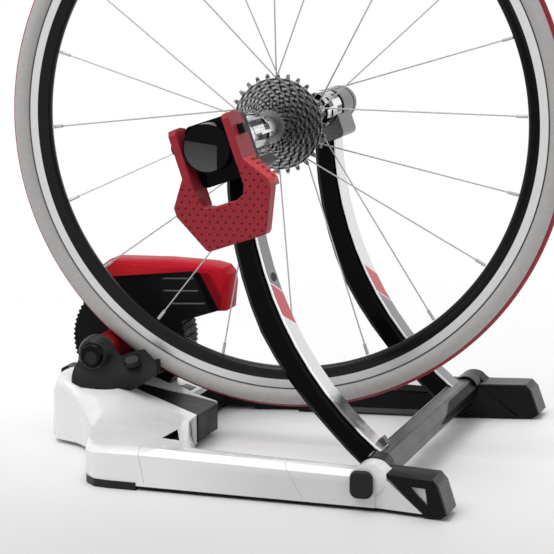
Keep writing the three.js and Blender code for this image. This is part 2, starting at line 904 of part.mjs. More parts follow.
function uprightGeometry() {
  const back = upright.faceThickness + clearance;
  const span = (share) => [-uprightHalfWidth(share) + back, uprightHalfWidth(share)];
  return betweenEnds(loft(uprightRings(span, upright.inner, uprightOuter, upright.corner), flatAcross));
}

function uprightFaceGeometry() {
  const span = (share) => [-uprightHalfWidth(share), -uprightHalfWidth(share) + upright.faceThickness];
  const inner = upright.inner + upright.faceInset;
  const outer = uprightOuter - upright.faceInset;
  return betweenEnds(loft(uprightRings(span, inner, outer, upright.faceThickness / 4), flatAcross));
}

// The base: black spine, white shells with the legs, rails, feet and pads

const base = {
  behindRoller: 54,
  legFront: 190,
  beyondUpright: 70,
  height: 86,
  under: 5,
  railUnder: 1.5,
};

const baseRear = rollerX - base.behindRoller;
const baseLength = base.legFront - baseRear;
const shellWidth = uprightOuter + base.beyondUpright;

function alongBase(share) {
  return baseRear + share * baseLength;
}

// Stations of a shell, all in shares: the place along the base, then for each of the six top points
// its distance from the middle and its height.
const shellShares = [
  [0, [0.053, 0.1, 0.13, 0.15, 0.165, 0.175], [0.82, 0.83, 0.82, 0.79, 0.76, 0.7]],
  [0.02, [0.053, 0.12, 0.17, 0.2, 0.22, 0.232], [0.97, 0.97, 0.96, 0.93, 0.88, 0.79]],
  [0.055, [0.053, 0.13, 0.18, 0.22, 0.25, 0.26], [1, 0.99, 0.96, 0.91, 0.85, 0.75]],
  [0.086, [0.053, 0.135, 0.19, 0.235, 0.27, 0.285], [0.93, 0.91, 0.87, 0.83, 0.74, 0.63]],
  [0.14, [0.053, 0.14, 0.2, 0.25, 0.335, 0.37], [0.87, 0.86, 0.84, 0.79, 0.58, 0.47]],
  [0.185, [0.056, 0.145, 0.205, 0.28, 0.48, 0.525], [0.78, 0.8, 0.81, 0.7, 0.54, 0.44]],
  [0.215, [0.072, 0.15, 0.207, 0.32, 0.7, 0.75], [0.72, 0.74, 0.74, 0.62, 0.53, 0.43]],
  [0.245, [0.082, 0.16, 0.21, 0.36, 0.82, 0.87], [0.67, 0.68, 0.67, 0.57, 0.53, 0.43]],
  [0.275, [0.095, 0.17, 0.225, 0.38, 0.885, 0.923], [0.63, 0.63, 0.62, 0.555, 0.535, 0.45]],
  [0.31, [0.109, 0.175, 0.235, 0.39, 0.905, 0.935], [0.58, 0.58, 0.57, 0.55, 0.55, 0.46]],
  [0.385, [0.142, 0.183, 0.24, 0.4, 0.91, 0.94], [0.47, 0.48, 0.49, 0.52, 0.56, 0.47]],
  [0.392, [0.27, 0.29, 0.32, 0.42, 0.912, 0.941], [0.46, 0.48, 0.5, 0.52, 0.56, 0.47]],
  [0.44, [0.5, 0.53, 0.565, 0.64, 0.917, 0.945], [0.44, 0.48, 0.51, 0.53, 0.56, 0.47]],
  [0.495, [0.71, 0.745, 0.785, 0.84, 0.922, 0.95], [0.41, 0.46, 0.5, 0.53, 0.55, 0.47]],
  [0.84, [0.785, 0.82, 0.85, 0.89, 0.945, 0.973], [0.37, 0.44, 0.49, 0.515, 0.52, 0.44]],
  [0.983, [0.816, 0.844, 0.87, 0.91, 0.96, 0.987], [0.37, 0.44, 0.49, 0.51, 0.51, 0.43]],
];

// A share of the shell's stations at any place along it. Row 1 holds distances, row 2 heights.
function shellValue(along, row, which) {
  const after = shellShares.findIndex(([share]) => share >= along);
  const [a, b] = [shellShares[Math.max(after - 1, 0)], shellShares[after]];
  const between = after > 0 ? (along - a[0]) / (b[0] - a[0]) : 0;
  return a[row].at(which) + between * (b[row].at(which) - a[row].at(which));
}

function legInner(along) {
  return shellValue(along, 1, 0) * shellWidth;
}

function legOuter(along) {
  return shellValue(along, 1, -1) * shellWidth;
}

function shellRings() {
  return shellShares.map(([along, acrossShares, heightShares]) => {
    const x = alongBase(along);
    const top = acrossShares.map((share, i) => {
      return new THREE.Vector3(x, share * shellWidth, heightShares[i] * base.height);
    });
    const first = new THREE.Vector3(x, top[0].y, base.under);
    const last = new THREE.Vector3(x, top.at(-1).y, base.under);
    return [first, ...top, last];
  });
}

// The leg's front part, which the foot wraps, in the foot's own frame. It is sheared so that the toe
// stays square to the base.

const foot = {
  splay: 11 * degree,
  width: 44,
  top: 44,
  length: 71,
  toe: 81,
  toeHeight: 7,
  slope: 52,
  wall: 4,
  brow: 8,
  windowBack: 36,
  windowFront: 55,
  windowTop: 33,
  windowFoot: 14,
  windowTip: 58,
  bevel: 1.5,
  coreBack: 16,
  cheekBack: 3,
  railBack: 36,
};

function footMiddle() {
  const last = shellShares.at(-1)[0];
  return (legInner(last) + legOuter(last)) / 2;
}

function placedAtFoot(geometry) {
  const shear = new THREE.Matrix4().set(1, Math.tan(foot.splay), 0, 0, 0, 1, 0, 0, 0, 0, 1, 0, 0, 0, 0, 1);
  geometry.translate(0, -foot.width / 2, 0);
  geometry.applyMatrix4(shear);
  geometry.translate(0, foot.width / 2, 0);
  geometry.rotateZ(foot.splay);
  geometry.translate(base.legFront, footMiddle(), 0);
  return geometry;
}

function coreShape(grow) {
  return outline([
    [-foot.coreBack, base.under - grow],
    [foot.toe - foot.wall - foot.brow + grow, base.under - grow],
    [foot.length - foot.wall - foot.brow + grow, foot.top - foot.wall + grow],
    [-foot.coreBack, foot.top - foot.wall + grow],
  ]);
}

const pivot = {
  boss: 20,
  innerBoss: 16,
  bossLength: 27,
  proud: 1.3,
  capX: 168,
  capZ: 31,
  capHalfWidth: 13,
  capHalfHeight: 15.5,
  capRound: 9,
  capOut: 7,
  capBevel: 2,
};

const pivotShare = (pivotX - baseRear) / baseLength;

// The crossbar ends a little inside the rails, and the legs' outer faces end the pivot's bosses.
function crossbarEnd() {
  return legInner(pivotShare) - rail.wall - overrun;
}

function pivotOuter() {
  return legOuter(pivotShare) + pivot.proud;
}

function barAtPivot(radius, yLow, yHigh, facets = ringFacets) {
  return barAlongY(radius, yLow, yHigh, pivotX, pivotZ, facets);
}

function pivotBore() {
  const end = crossbarEnd();
  return barAtPivot(crossbar.journal + clearance, end - overrun, end + crossbar.journalLength + clearance);
}

// Dark opening beside the arm's end, as shares of the base's length and of the shell's width.
const recess = { corners: [[0.408, 0.523], [0.406, 0.702], [0.451, 0.718]], floor: 39 };

function recessPocket() {
  const points = recess.corners.map(([along, across]) => [alongBase(along), across * shellWidth]);
  const pocket = new THREE.ExtrudeGeometry(outline(points), { depth: base.height, bevelEnabled: false });
  pocket.translate(0, 0, recess.floor);
  return facingOut(pocket);
}

// White leg shell on the +Y side, with its pivot boss and the core inside the foot.
function shellGeometry(pocket) {
  const skin = loft(shellRings(), flatInX);
  const coreHalf = foot.width / 2 - foot.wall;
  const core = placedAtFoot(acrossY(coreShape(0), -coreHalf, coreHalf));
  const wedgeShape = outline([
    [-foot.coreBack, base.under],
    [foot.slope, base.under],
    [0, foot.top],
    [-foot.coreBack, foot.top],
  ]);
  const wedge = placedAtFoot(acrossY(wedgeShape, -coreHalf, foot.width / 2));
  const outer = pivotOuter();
  const innerBoss = barAtPivot(pivot.innerBoss + clearance, crossbarEnd(), outer - pivot.bossLength + clearance);
  const boss = barAtPivot(pivot.boss, outer - pivot.bossLength, outer, roundFacets);
  return cut(joined(cut(joined(skin, core, wedge), innerBoss), boss), pivotBore(), pocket);
}

// Rounded cap on the leg's outer face.
function pivotCapGeometry() {
  const shape = roundedRectangle(pivot.capHalfWidth, pivot.capHalfHeight, pivot.capRound);
  const inner = pivotOuter() + clearance;
  const cap = acrossY(shape, inner, inner + pivot.capOut, {
    bevelSize: pivot.capBevel,
    bevelOffset: -pivot.capBevel,
  });
  cap.translate(pivot.capX, 0, pivot.capZ);
  return cap;
}

// The shoe round the core, with a slanted joint towards the leg and a triangular window.
function shoeGeometry() {
  const block = outline([
    [0, foot.top],
    [foot.length - foot.brow, foot.top],
    [foot.length, foot.top - foot.brow],
    [foot.toe, foot.toeHeight],
    [foot.toe - foot.brow, base.railUnder],
    [foot.slope, base.railUnder],
    [foot.slope, base.under],
  ]);
  const half = foot.width / 2;
  const wedge = outline([
    [-foot.coreBack - overrun, base.railUnder - overrun],
    [foot.slope + clearance, base.railUnder - overrun],
    [foot.slope + clearance, base.under],
    [clearance, foot.top + overrun],
    [-foot.coreBack - overrun, foot.top + overrun],
  ]);
  const coreHalf = half - foot.wall + clearance;
  const window = outline([
    [foot.windowBack, foot.windowTop],
    [foot.windowFront, foot.windowTop],
    [foot.windowTip, foot.windowFoot],
  ]);
  const whole = acrossY(block, -half, half, { bevelSize: foot.bevel, bevelOffset: -foot.bevel });
  const tools = [
    acrossY(wedge, -half - overrun, half + overrun),
    acrossY(coreShape(clearance), -coreHalf, coreHalf),
    acrossY(window, half - foot.wall - overrun, half + overrun),
  ];
  return cut(whole, ...tools);
}

// Black plate on the leg's inner side, from the rail to the shoe.
function cheekGeometry() {
  const shape = outline([
    [-foot.cheekBack, base.railUnder],
    [foot.slope + overrun, base.railUnder],
    [overrun, foot.top],
    [-foot.cheekBack, foot.top],
  ]);
  const half = foot.width / 2;
  return acrossY(shape, -half, foot.wall - clearance - half);
}

function footGeometry() {
  const half = foot.width / 2;
  const sole = box(
    [-foot.railBack, foot.wall - half, base.railUnder],
    [foot.slope + overrun, half - foot.wall, base.under - clearance]
  );
  const shoe = placedAtFoot(joined(shoeGeometry(), cheekGeometry(), sole, frontPadGeometry()));
  const outer = pivotOuter();
  const bossInner = outer - pivot.bossLength - clearance;
  const collar = barAtPivot(pivot.innerBoss, crossbarEnd() + clearance, bossInner, roundFacets);
  const bossRoom = barAtPivot(pivot.boss + clearance, bossInner, outer + foot.width, roundFacets);
  return cut(joined(cut(joined(shoe, railGeometry()), bossRoom), collar), pivotBore());
}

// The spine's half widths and top heights, at shares of the base's length.
const spine = {
  rearHalf: 14,
  frontHalf: 37.5,
  taperShare: 0.185,
  endShare: 0.388,
  rearTopShare: 0.977,
  waistTopShare: 0.744,
  frontTopShare: 0.442,
  under: 6,
  rearChamfer: 6,
  crestShare: 0.06,
};

function spineGeometry() {
  const rear = baseRear - overrun;
  const [waist, front] = [alongBase(spine.taperShare), alongBase(spine.endShare)];
  const side = [
    [rear, spine.rearHalf - clearance],
    [waist, spine.rearHalf - clearance],
    [front, spine.frontHalf - clearance],
  ];
  const plan = outline([...side, ...side.slice().reverse().map(([x, y]) => [x, -y])]);
  const block = new THREE.ExtrudeGeometry(plan, { depth: base.height, bevelEnabled: false });
  const rearTop = spine.rearTopShare * base.height;
  const profile = outline([
    [rear - overrun, spine.under],
    [rear - overrun, rearTop - spine.rearChamfer],
    [rear + spine.rearChamfer, rearTop],
    [alongBase(spine.crestShare), rearTop],
    [waist, spine.waistTopShare * base.height],
    [front + overrun, spine.frontTopShare * base.height],
    [front + overrun, spine.under],
  ]);
  return kept(block, acrossY(profile, -shellWidth, shellWidth));
}

const rail = {
  stationShares: [0.393, 0.44, 0.495, 0.84, 0.983],
  wall: 4,
  belowTop: 2,
  soleInset: 3,
};

// Black rail along the leg: a sole under the shell and a wall up its inner face.
function railGeometry() {
  const rings = rail.stationShares.map((along) => {
    const x = alongBase(along);
    const inner = legInner(along);
    const outer = legOuter(along) - rail.soleInset;
    const top = shellValue(along, 2, 0) * base.height - rail.belowTop;
    const sole = base.under - clearance;
    return [
      [inner - rail.wall, base.railUnder],
      [outer, base.railUnder],
      [outer, sole],
      [inner - clearance, sole],
      [inner - clearance, top],
      [inner - rail.wall, top],
    ].map(([y, z]) => new THREE.Vector3(x, y, z));
  });
  return loft(rings, flatInX);
}

const pad = {
  rearShares: [0.235, 0.245, 0.275, 0.31, 0.385],
  rearWidth: 24,
  height: 9,
  proud: 1,
  frontHalfLength: 11,
  frontHalfWidth: 16,
  frontX: 60,
  centreHalfLength: 10,
  centreHalfWidth: 45,
  centreRound: 9,
  centreShare: 0.056,
};

// Rubber strip that wraps the shell's rear corner and meets the floor.
function rearPadGeometry() {
  const rings = pad.rearShares.map((along) => {
    const x = alongBase(along);
    const outer = legOuter(along) + pad.proud;
    const under = base.under - clearance;
    return [
      [outer - pad.rearWidth, 0],
      [outer, 0],
      [outer, pad.height],
      [legOuter(along) + clearance, pad.height],
      [legOuter(along) + clearance, under],
      [outer - pad.rearWidth, under],
    ].map(([y, z]) => new THREE.Vector3(x, y, z));
  });
  return loft(rings, flatInX);
}

// Rib under the foot that meets the floor.
function frontPadGeometry() {
  return box(
    [pad.frontX - pad.frontHalfLength, -pad.frontHalfWidth, 0],
    [pad.frontX + pad.frontHalfLength, pad.frontHalfWidth, base.railUnder + overrun / 2]
  );
}

function centrePadGeometry() {
  const plan = roundedRectangle(pad.centreHalfLength, pad.centreHalfWidth, pad.centreRound);
  const geometry = new THREE.ExtrudeGeometry(plan, {
    depth: base.under - clearance,
    bevelEnabled: false,
    curveSegments: cornerFacets,
  });
  geometry.translate(alongBase(pad.centreShare), 0, 0);
  return geometry;
}

// The resistance unit: cradle, roller on its shaft, flywheel, finned housing, cover and hood. Places
// along X and Z are measured from the roller's axis.

const cradle = {
  armInner: 38,
  armOuter: 60,
  boss: 22,
  capRadius: 15,
  capOut: 4,
  bearing: 11,
  bearingLength: 12,
  sink: 10,
  skirtRise: 12,
  skirtGrow: 5,
  heel: -28,
  front: 81.5,
  frontDrop: -22,
  shoulder: [81, -10],
  crown: [61, 8],
  crownRear: [44, 4],
  valley: [32, -2],
  bossAt: [3, 2],
  bossFrom: 10 * degree,
  bossTo: 190 * degree,
  knob: [50, -4],
  knobRadius: 8,
  knobOut: 3,
  floorThickness: 8,
  bevel: 3,
};

const housing = {
  inner: 49,
  split: 74,
  outer: 97,
  wall: 4,
  centre: [8, 1.2],
  radius: 74,
  ribs: 50,
  ribDepth: 2.4,
  arcFrom: 140 * degree,
  arcTo: 380 * degree,
  roof: 91,
  shoulderRear: -16,
  headFront: 123.5,
  headFoot: 42,
  chin: [82.4, 28.5],
  bore: 12,
  plainFacets: 28,
  slots: [[52, 78, 92, 80], [53, 63, 98, 65], [64, 47.5, 107, 49.7]],
  slotHeight: 2.4,
  slotDepth: 2,
};

const flywheel = {
  inner: 60,
  outer: 88,
  beyondRim: 17,
  rimDepth: 8,
  web: 10,
  hubShare: 3,
};

const hood = {
  inner: 45,
  outer: 100,
  outline: [
    [-29.5, 78],
    [-27.5, 91],
    [-17.5, 98.5],
    [54.5, 100],
    [112.5, 98],
    [128.5, 94],
    [135, 86],
    [136.5, 74],
    [133.5, 42],
  ],
  inside: [
    [116.5, 42],
    [92.5, 90],
    [-17.5, 78],
  ],
  layers: [[0, 7], [0.05, 2.5], [0.15, 0], [0.8, 0], [0.94, 3], [1, 8]],
  middle: [53, 69],
};

function atRoller([x, z]) {
  return [rollerX + x, rollerZ + z];
}

function barAtRoller(radius, yLow, yHigh, facets = ringFacets) {
  return barAlongY(radius, yLow, yHigh, rollerX, rollerZ, facets);
}

function rollerGeometry() {
  const shaftStart = -cradle.armInner - cradle.bearingLength;
  const shaft = barAtRoller(roller.shaft, shaftStart, flywheel.outer + overrun, smallFacets);
  return joined(barAtRoller(roller.radius, -roller.halfLength, roller.halfLength, roundFacets), shaft);
}

function flywheelGeometry() {
  const bore = roller.shaft + clearance;
  const outer = housing.radius - flywheel.beyondRim;
  const hubRadius = flywheel.hubShare * roller.shaft;
  const middle = (flywheel.inner + flywheel.outer) / 2;
  const webHalf = flywheel.web / 2;
  const disc = turned(
    [
      [bore, flywheel.inner],
      [hubRadius, flywheel.inner],
      [hubRadius, middle - webHalf],
      [outer - flywheel.rimDepth, middle - webHalf],
      [outer - flywheel.rimDepth, flywheel.inner],
      [outer, flywheel.inner],
      [outer, flywheel.outer],
      [outer - flywheel.rimDepth, flywheel.outer],
      [outer - flywheel.rimDepth, middle + webHalf],
      [hubRadius, middle + webHalf],
      [hubRadius, flywheel.outer],
      [bore, flywheel.outer],
    ],
    roundFacets
  );
  disc.translate(rollerX, 0, rollerZ);
  return disc;
}

function bearingGeometry() {
  const bore = roller.shaft + clearance;
  const low = clearance - cradle.armInner - cradle.bearingLength;
  const high = -cradle.armInner - clearance;
  const ring = turned([[bore, low], [cradle.bearing, low], [cradle.bearing, high], [bore, high]], ringFacets);
  ring.translate(rollerX, 0, rollerZ);
  return ring;
}

// Points sunk a little below the shells' crest, from the rear of the cradle's foot to the plateau's end.
function cradleSole(from) {
  const to = alongBase(spine.taperShare);
  const stations = shellShares.map(([along]) => alongBase(along));
  const inside = stations.filter((x) => x > from && x < to);
  return [from, ...inside, to].map((x) => {
    const crest = shellValue((x - baseRear) / baseLength, 2, 1) * base.height;
    return [x, crest - cradle.sink];
  });
}

// The top of the base, raised by a clearance, that the cradle's foot is cut to.
function baseRoom() {
  const far = loft(shellRings(), flatInX);
  const near = facingOut(far.clone().scale(1, -1, 1));
  return [far, near, spineGeometry()].map((geometry) => geometry.translate(0, 0, clearance));
}

// The arm seen from the side: a flared foot, a round boss over the shaft and a shoulder in front.
function cradleArmShape() {
  const shape = new THREE.Shape();
  const front = atRoller([cradle.front, cradle.frontDrop]);
  const sole = cradleSole(rollerX + cradle.heel + cradle.skirtGrow);
  shape.moveTo(...sole[0]);
  sole.slice(1).forEach(([x, z]) => shape.lineTo(x, z));
  shape.lineTo(...front);
  shape.lineTo(...atRoller(cradle.shoulder));
  shape.lineTo(...atRoller(cradle.crown));
  shape.lineTo(...atRoller(cradle.crownRear));
  shape.lineTo(...atRoller(cradle.valley));
  shape.absarc(...atRoller(cradle.bossAt), cradle.boss, cradle.bossFrom, cradle.bossTo);
  return shape;
}

// Wider foot under the near arm.
function cradleSkirt() {
  const sole = cradleSole(rollerX + cradle.heel);
  const [front, z] = atRoller([cradle.front, cradle.frontDrop]);
  const top = [
    [front - cradle.skirtGrow, z + cradle.skirtRise],
    [sole[0][0] + cradle.skirtGrow, sole[0][1] + cradle.sink + cradle.skirtRise],
  ];
  const outer = cradle.armOuter + cradle.skirtGrow;
  return acrossY(outline([...sole, [front, z], ...top]), -outer, -cradle.armInner, {
    bevelSize: cradle.bevel,
    bevelOffset: -cradle.bevel,
  });
}

// Two arms on one floor, with the roller between them.
function cradleGeometry() {
  const near = acrossY(cradleArmShape(), -cradle.armOuter, -cradle.armInner, {
    bevelSize: cradle.bevel,
    bevelOffset: -cradle.bevel,
  });
  const farOuter = housing.inner - clearance;
  const far = acrossY(cradleArmShape(), cradle.armInner, farOuter);
  const floorSole = cradleSole(rollerX + cradle.boss);
  floorSole.push(atRoller([cradle.front - overrun, cradle.frontDrop]));
  const floorTop = floorSole.map(([x, z]) => [x, z + cradle.sink + cradle.floorThickness]).reverse();
  const floorHalf = cradle.armInner + overrun;
  const floor = acrossY(outline([...floorSole, ...floorTop]), -floorHalf, floorHalf);
  const capStart = -cradle.armOuter - cradle.capOut;
  const cap = barAlongY(cradle.capRadius, capStart, -cradle.armOuter + overrun, ...atRoller(cradle.bossAt));
  const [knobX, knobZ] = atRoller(cradle.knob);
  const knobEnd = -cradle.armOuter - cradle.knobOut;
  const knob = barAlongY(cradle.knobRadius, knobEnd, -cradle.armInner - overrun, knobX, knobZ, smallFacets);
  const seatStart = -cradle.armInner - cradle.bearingLength;
  const tools = [
    barAtRoller(roller.shaft + 2 * clearance, seatStart - overrun / 2, farOuter + overrun, smallFacets),
    barAtRoller(cradle.bearing + clearance, seatStart, -cradle.armInner + overrun),
    barAlongY(tyreRadius + 2 * overrun, -tyreWidth, tyreWidth, 0, hubHeight, wheelFacets),
    ...baseRoom(),
  ];
  return cut(joined(near, cradleSkirt(), far, floor, cap, knob), ...tools);
}

// Outline of the finned housing: a ribbed round drum that runs up into a plain head.
function housingOutline(inset, ribbed) {
  const points = [];
  const radius = housing.radius - inset;
  const [centreX, centreZ] = atRoller(housing.centre);
  const steps = ribbed ? 2 * housing.ribs : housing.plainFacets;
  for (let i = 0; i <= steps; i++) {
    const angle = housing.arcFrom + ((housing.arcTo - housing.arcFrom) * i) / steps;
    const r = ribbed && i % 2 === 1 ? radius - housing.ribDepth : radius;
    points.push([centreX + r * Math.cos(angle), centreZ + r * Math.sin(angle)]);
  }
  const [chinX, chinZ] = housing.chin;
  const head = [
    [chinX - inset, chinZ + inset],
    [housing.headFront - inset, housing.headFoot + inset],
    [housing.headFront - inset, housing.roof - inset],
    [housing.shoulderRear + inset, housing.roof - inset],
  ];
  return outline([...points, ...head.map(atRoller)]);
}

function housingHollow(yLow, yHigh) {
  return acrossY(housingOutline(housing.wall + housing.ribDepth, false), yLow, yHigh);
}

// Shallow slanted slots in the head's near face.
function slotTools() {
  return housing.slots.map(([x0, z0, x1, z1]) => {
    const corners = [
      [x0, z0],
      [x1, z1],
      [x1, z1 + housing.slotHeight],
      [x0, z0 + housing.slotHeight],
    ];
    return acrossY(outline(corners.map(atRoller)), housing.inner - overrun, housing.inner + housing.slotDepth);
  });
}

function housingNearGeometry() {
  const skin = acrossY(housingOutline(0, true), housing.inner, housing.split - clearance / 2);
  const hollow = housingHollow(housing.inner + housing.wall, housing.split + overrun);
  return cut(skin, hollow, barAtRoller(housing.bore, 0, housing.split), ...slotTools());
}

function housingFarGeometry() {
  const skin = acrossY(housingOutline(0, true), housing.split + clearance / 2, housing.outer);
  return cut(skin, housingHollow(housing.split - overrun, housing.outer - housing.wall));
}

// Room for the finned housing in the far shell.
function drumPocket() {
  const [x, z] = atRoller(housing.centre);
  const [low, high] = [housing.inner - overrun, housing.outer + overrun];
  return barAlongY(housing.radius + overrun / 2, low, high, x, z, wheelFacets);
}

// The hood's section at one layer, shrunk towards its middle, or at full size.
function hoodRing(y, inset) {
  const [middleX, middleZ] = hood.middle;
  const shrunk = hood.outline.map(([x, z]) => {
    const length = Math.hypot(x - middleX, z - middleZ);
    const share = 1 - inset / length;
    return [middleX + (x - middleX) * share, middleZ + (z - middleZ) * share];
  });
  return [...shrunk, ...hood.inside].map(atRoller).map(([x, z]) => new THREE.Vector3(x, y, z));
}

function hoodGeometry() {
  const depth = hood.outer - hood.inner;
  const rings = hood.layers.map(([share, inset]) => hoodRing(hood.inner + share * depth, inset));
  const whole = loft(rings, (point) => new THREE.Vector2(point.x, point.z));
  const room = acrossY(
    housingOutline(-clearance, false),
    housing.inner - clearance,
    housing.outer + clearance
  );
  return cut(whole, room);
}

// Assembly

const group = new THREE.Group();

function mesh(name, geometry, material, parent = group) {
  const piece = new THREE.Mesh(geometry, material);
  piece.name = name;
  parent.add(piece);
  return piece;
}

function addWheel() {
  const wheel = new THREE.Group();
  wheel.position.z = hubHeight;
  group.add(wheel);
  mesh("tyre", tyreGeometry(), sidewallGrey, wheel);
  mesh("inner_tube", innerTubeGeometry(), tubeBlack, wheel);
  mesh("rim", rimGeometry(), rimBlack, wheel);
  mesh("hub_shell", hubShellGeometry(), satinAlloy, wheel);
  for (let i = 0; i < spoke.count; i++) {
    mesh("spoke_" + String(i + 1).padStart(2, "0"), spokeGeometry(i), brightSteel, wheel);
  }
  mesh("freehub_body", freehubGeometry(), satinAlloy, wheel);
  mesh("cassette_large_sprockets", clusterGeometry(cassette.largeTeeth, 0), brightSteel, wheel);
  const firstSmall = cassette.largeTeeth.length;
  mesh("cassette_small_sprockets", clusterGeometry(cassette.smallTeeth, firstSmall), brightSteel, wheel);
  mesh("cassette_lockring", lockringGeometry(), satinAlloy, wheel);
  mesh("hub_axle", axleGeometry(), satinAlloy, wheel);
  mesh("skewer_rod", skewerRodGeometry(), brightSteel, wheel);
  const nut = mesh("skewer_nut", skewerHeadGeometry(), brightSteel, wheel);
  nut.scale.y = -1;
  mesh("skewer_lever", skewerLeverGeometry(), brightSteel, wheel);
}

function addFrame() {
  mesh("crossbar", crossbarGeometry(), gunmetal);
  const near = new THREE.Group();
  near.scale.y = -1;
  group.add(near);
  for (const [side, parent] of [["near", near], ["far", group]]) {
    mesh("upright_" + side, uprightGeometry(), paintBlack, parent);
    mesh("upright_face_" + side, uprightFaceGeometry(), chrome, parent);
    const head = new THREE.Group();
    head.position.z = hubHeight;
    head.rotation.y = -clamp.tilt;
    parent.add(head);
    if (side === "near") {
      const stemEnd = pin.outward - camReach - 2 * clearance;
      mesh("clamp_housing_near", nearHousingGeometry(), mouldedBlack, head);
      mesh("clamp_cup_near", cupGeometry(clamp.nearRing, stemEnd), chrome, head);
      mesh("clamp_lever", leverGeometry(), satinRed, head);
      mesh("clamp_lever_pin", leverPinGeometry(), mouldedBlack, head);
    } else {
      mesh("clamp_housing_far", farHousingGeometry(), satinAlloy, head);
      mesh("clamp_cup_far", cupGeometry(clamp.farRing, clamp.farStem), chrome, head);
    }
  }
}

function addBase() {
  mesh("base_spine", spineGeometry(), mouldedBlack);
  const near = new THREE.Group();
  near.scale.y = -1;
  group.add(near);
  for (const [side, parent] of [["near", near], ["far", group]]) {
    const pocket = side === "far" ? drumPocket() : recessPocket();
    mesh("base_shell_" + side, shellGeometry(pocket), glossWhite, parent);
    mesh("foot_" + side, footGeometry(), mouldedBlack, parent);
    mesh("rear_pad_" + side, rearPadGeometry(), rubberBlack, parent);
    mesh("pivot_cap_" + side, pivotCapGeometry(), rubberBlack, parent);
  }
  mesh("rear_pad_centre", centrePadGeometry(), rubberBlack);
}

function addResistanceUnit() {
  mesh("roller_cradle", cradleGeometry(), charcoal);
  mesh("roller", rollerGeometry(), glossRed);
  mesh("roller_bearing_near", bearingGeometry(), brightSteel);
  mesh("flywheel", flywheelGeometry(), satinAlloy);
  mesh("brake_housing", housingNearGeometry(), mouldedBlack);
  mesh("brake_cover", housingFarGeometry(), mouldedBlack);
  mesh("brake_hood", hoodGeometry(), glossRed);
}

addWheel();
addFrame();
addBase();
addResistanceUnit();

// The middle of the overall box stands over the origin.
const middle = new THREE.Box3().setFromObject(group).getCenter(new THREE.Vector3());
group.position.set(-middle.x, -middle.y, 0);

export default group;
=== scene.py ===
import json
import math

import bmesh
import bpy
import numpy as np
from mathutils import Matrix, Vector

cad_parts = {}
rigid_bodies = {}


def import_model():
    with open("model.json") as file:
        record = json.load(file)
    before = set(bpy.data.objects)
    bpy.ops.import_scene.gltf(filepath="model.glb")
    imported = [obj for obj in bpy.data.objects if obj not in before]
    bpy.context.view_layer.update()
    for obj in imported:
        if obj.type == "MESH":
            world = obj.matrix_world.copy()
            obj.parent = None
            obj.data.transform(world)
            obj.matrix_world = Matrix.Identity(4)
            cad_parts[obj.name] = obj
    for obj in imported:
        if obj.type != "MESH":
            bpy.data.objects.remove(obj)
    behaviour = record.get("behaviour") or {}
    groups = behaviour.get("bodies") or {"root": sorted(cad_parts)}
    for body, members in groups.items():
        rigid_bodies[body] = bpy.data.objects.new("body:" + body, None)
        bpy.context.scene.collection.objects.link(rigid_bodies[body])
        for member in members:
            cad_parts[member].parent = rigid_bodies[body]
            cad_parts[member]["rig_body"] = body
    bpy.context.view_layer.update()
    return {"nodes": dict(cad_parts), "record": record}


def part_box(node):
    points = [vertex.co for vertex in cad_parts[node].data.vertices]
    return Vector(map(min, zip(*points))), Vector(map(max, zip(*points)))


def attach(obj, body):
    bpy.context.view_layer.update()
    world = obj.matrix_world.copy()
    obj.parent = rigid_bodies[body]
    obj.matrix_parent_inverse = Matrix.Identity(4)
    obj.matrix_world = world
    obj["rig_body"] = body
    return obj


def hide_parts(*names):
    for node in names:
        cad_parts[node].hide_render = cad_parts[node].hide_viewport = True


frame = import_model()
NODES = frame["nodes"]
scene = bpy.context.scene

# Lengths are in metres, and in millimetres in the materials and the outlines. In the materials x and z
# run from the frame's origin, and y from the wheel's middle plane.
tyre_low, tyre_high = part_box("tyre")
HUB = (tyre_low + tyre_high) / 2
HUB_HEIGHT = 1000 * HUB.z
PIVOT_X = 0.175
PIVOT_Z = 0.039

# Lean of the near clamp housing and its lever
TILT = math.radians(19)

# Middle of the cradle's bearing cap, a little off the roller's axis
roller_low, roller_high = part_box("roller")
ROLLER = (roller_low + roller_high) / 2
CAP = Vector((ROLLER.x + 0.003, HUB.y - 0.0655, ROLLER.z + 0.002))

# Openings and dark patches of the shells, as convex outlines in x and y that run counter-clockwise. The
# notch is the gap between the far shell's front and its leg.
NOTCH = [(-128.0, 40.0), (-60.0, 40.0), (-28.0, 150.0), (-38.0, 193.0), (-128.0, 170.0)]
NEAR_OPENING = [(-86.1, -137.0), (-86.9, -183.9), (-65.7, -188.1)]
FAR_OPENING = [(-149.0, 52.0), (-133.0, 45.0), (-134.0, 72.0), (-148.0, 78.0)]
FAR_PIVOT = [(150.0, 190.0), (230.0, 190.0), (230.0, 260.0), (150.0, 260.0)]
FAR_INNER_EDGE = [(-40.0, 175.0), (150.0, 190.0), (150.0, 216.0), (-40.0, 203.0)]

# Seams across the legs: x at the bottom, lean, and the distance from the middle plane where each begins
SEAMS = ((-86.5, 0.2, 228.0), (100.0, 0.6, 190.0))

# Camera, solved from the photograph. The focal length is in pixels of the photograph, the sensor's width
# in millimetres, and both angles are in degrees.
PHOTO_PIXELS = 554
FOCAL_PIXELS = 2448.959
SENSOR_WIDTH = 36
CAMERA_PLACE = (0.8362, -2.7301 + HUB.y, 0.6951)
CAMERA_DOWN = 9.725
CAMERA_TURN = 17.182


def add_camera():
    data = bpy.data.cameras.new("camera")
    camera = bpy.data.objects.new("camera", data)
    scene.collection.objects.link(camera)
    camera.location = CAMERA_PLACE
    camera.rotation_euler = (math.radians(90 - CAMERA_DOWN), 0, math.radians(CAMERA_TURN))
    data.sensor_width = SENSOR_WIDTH
    data.lens = FOCAL_PIXELS / PHOTO_PIXELS * SENSOR_WIDTH
    data.clip_end = 50
    scene.camera = camera


# Material helpers

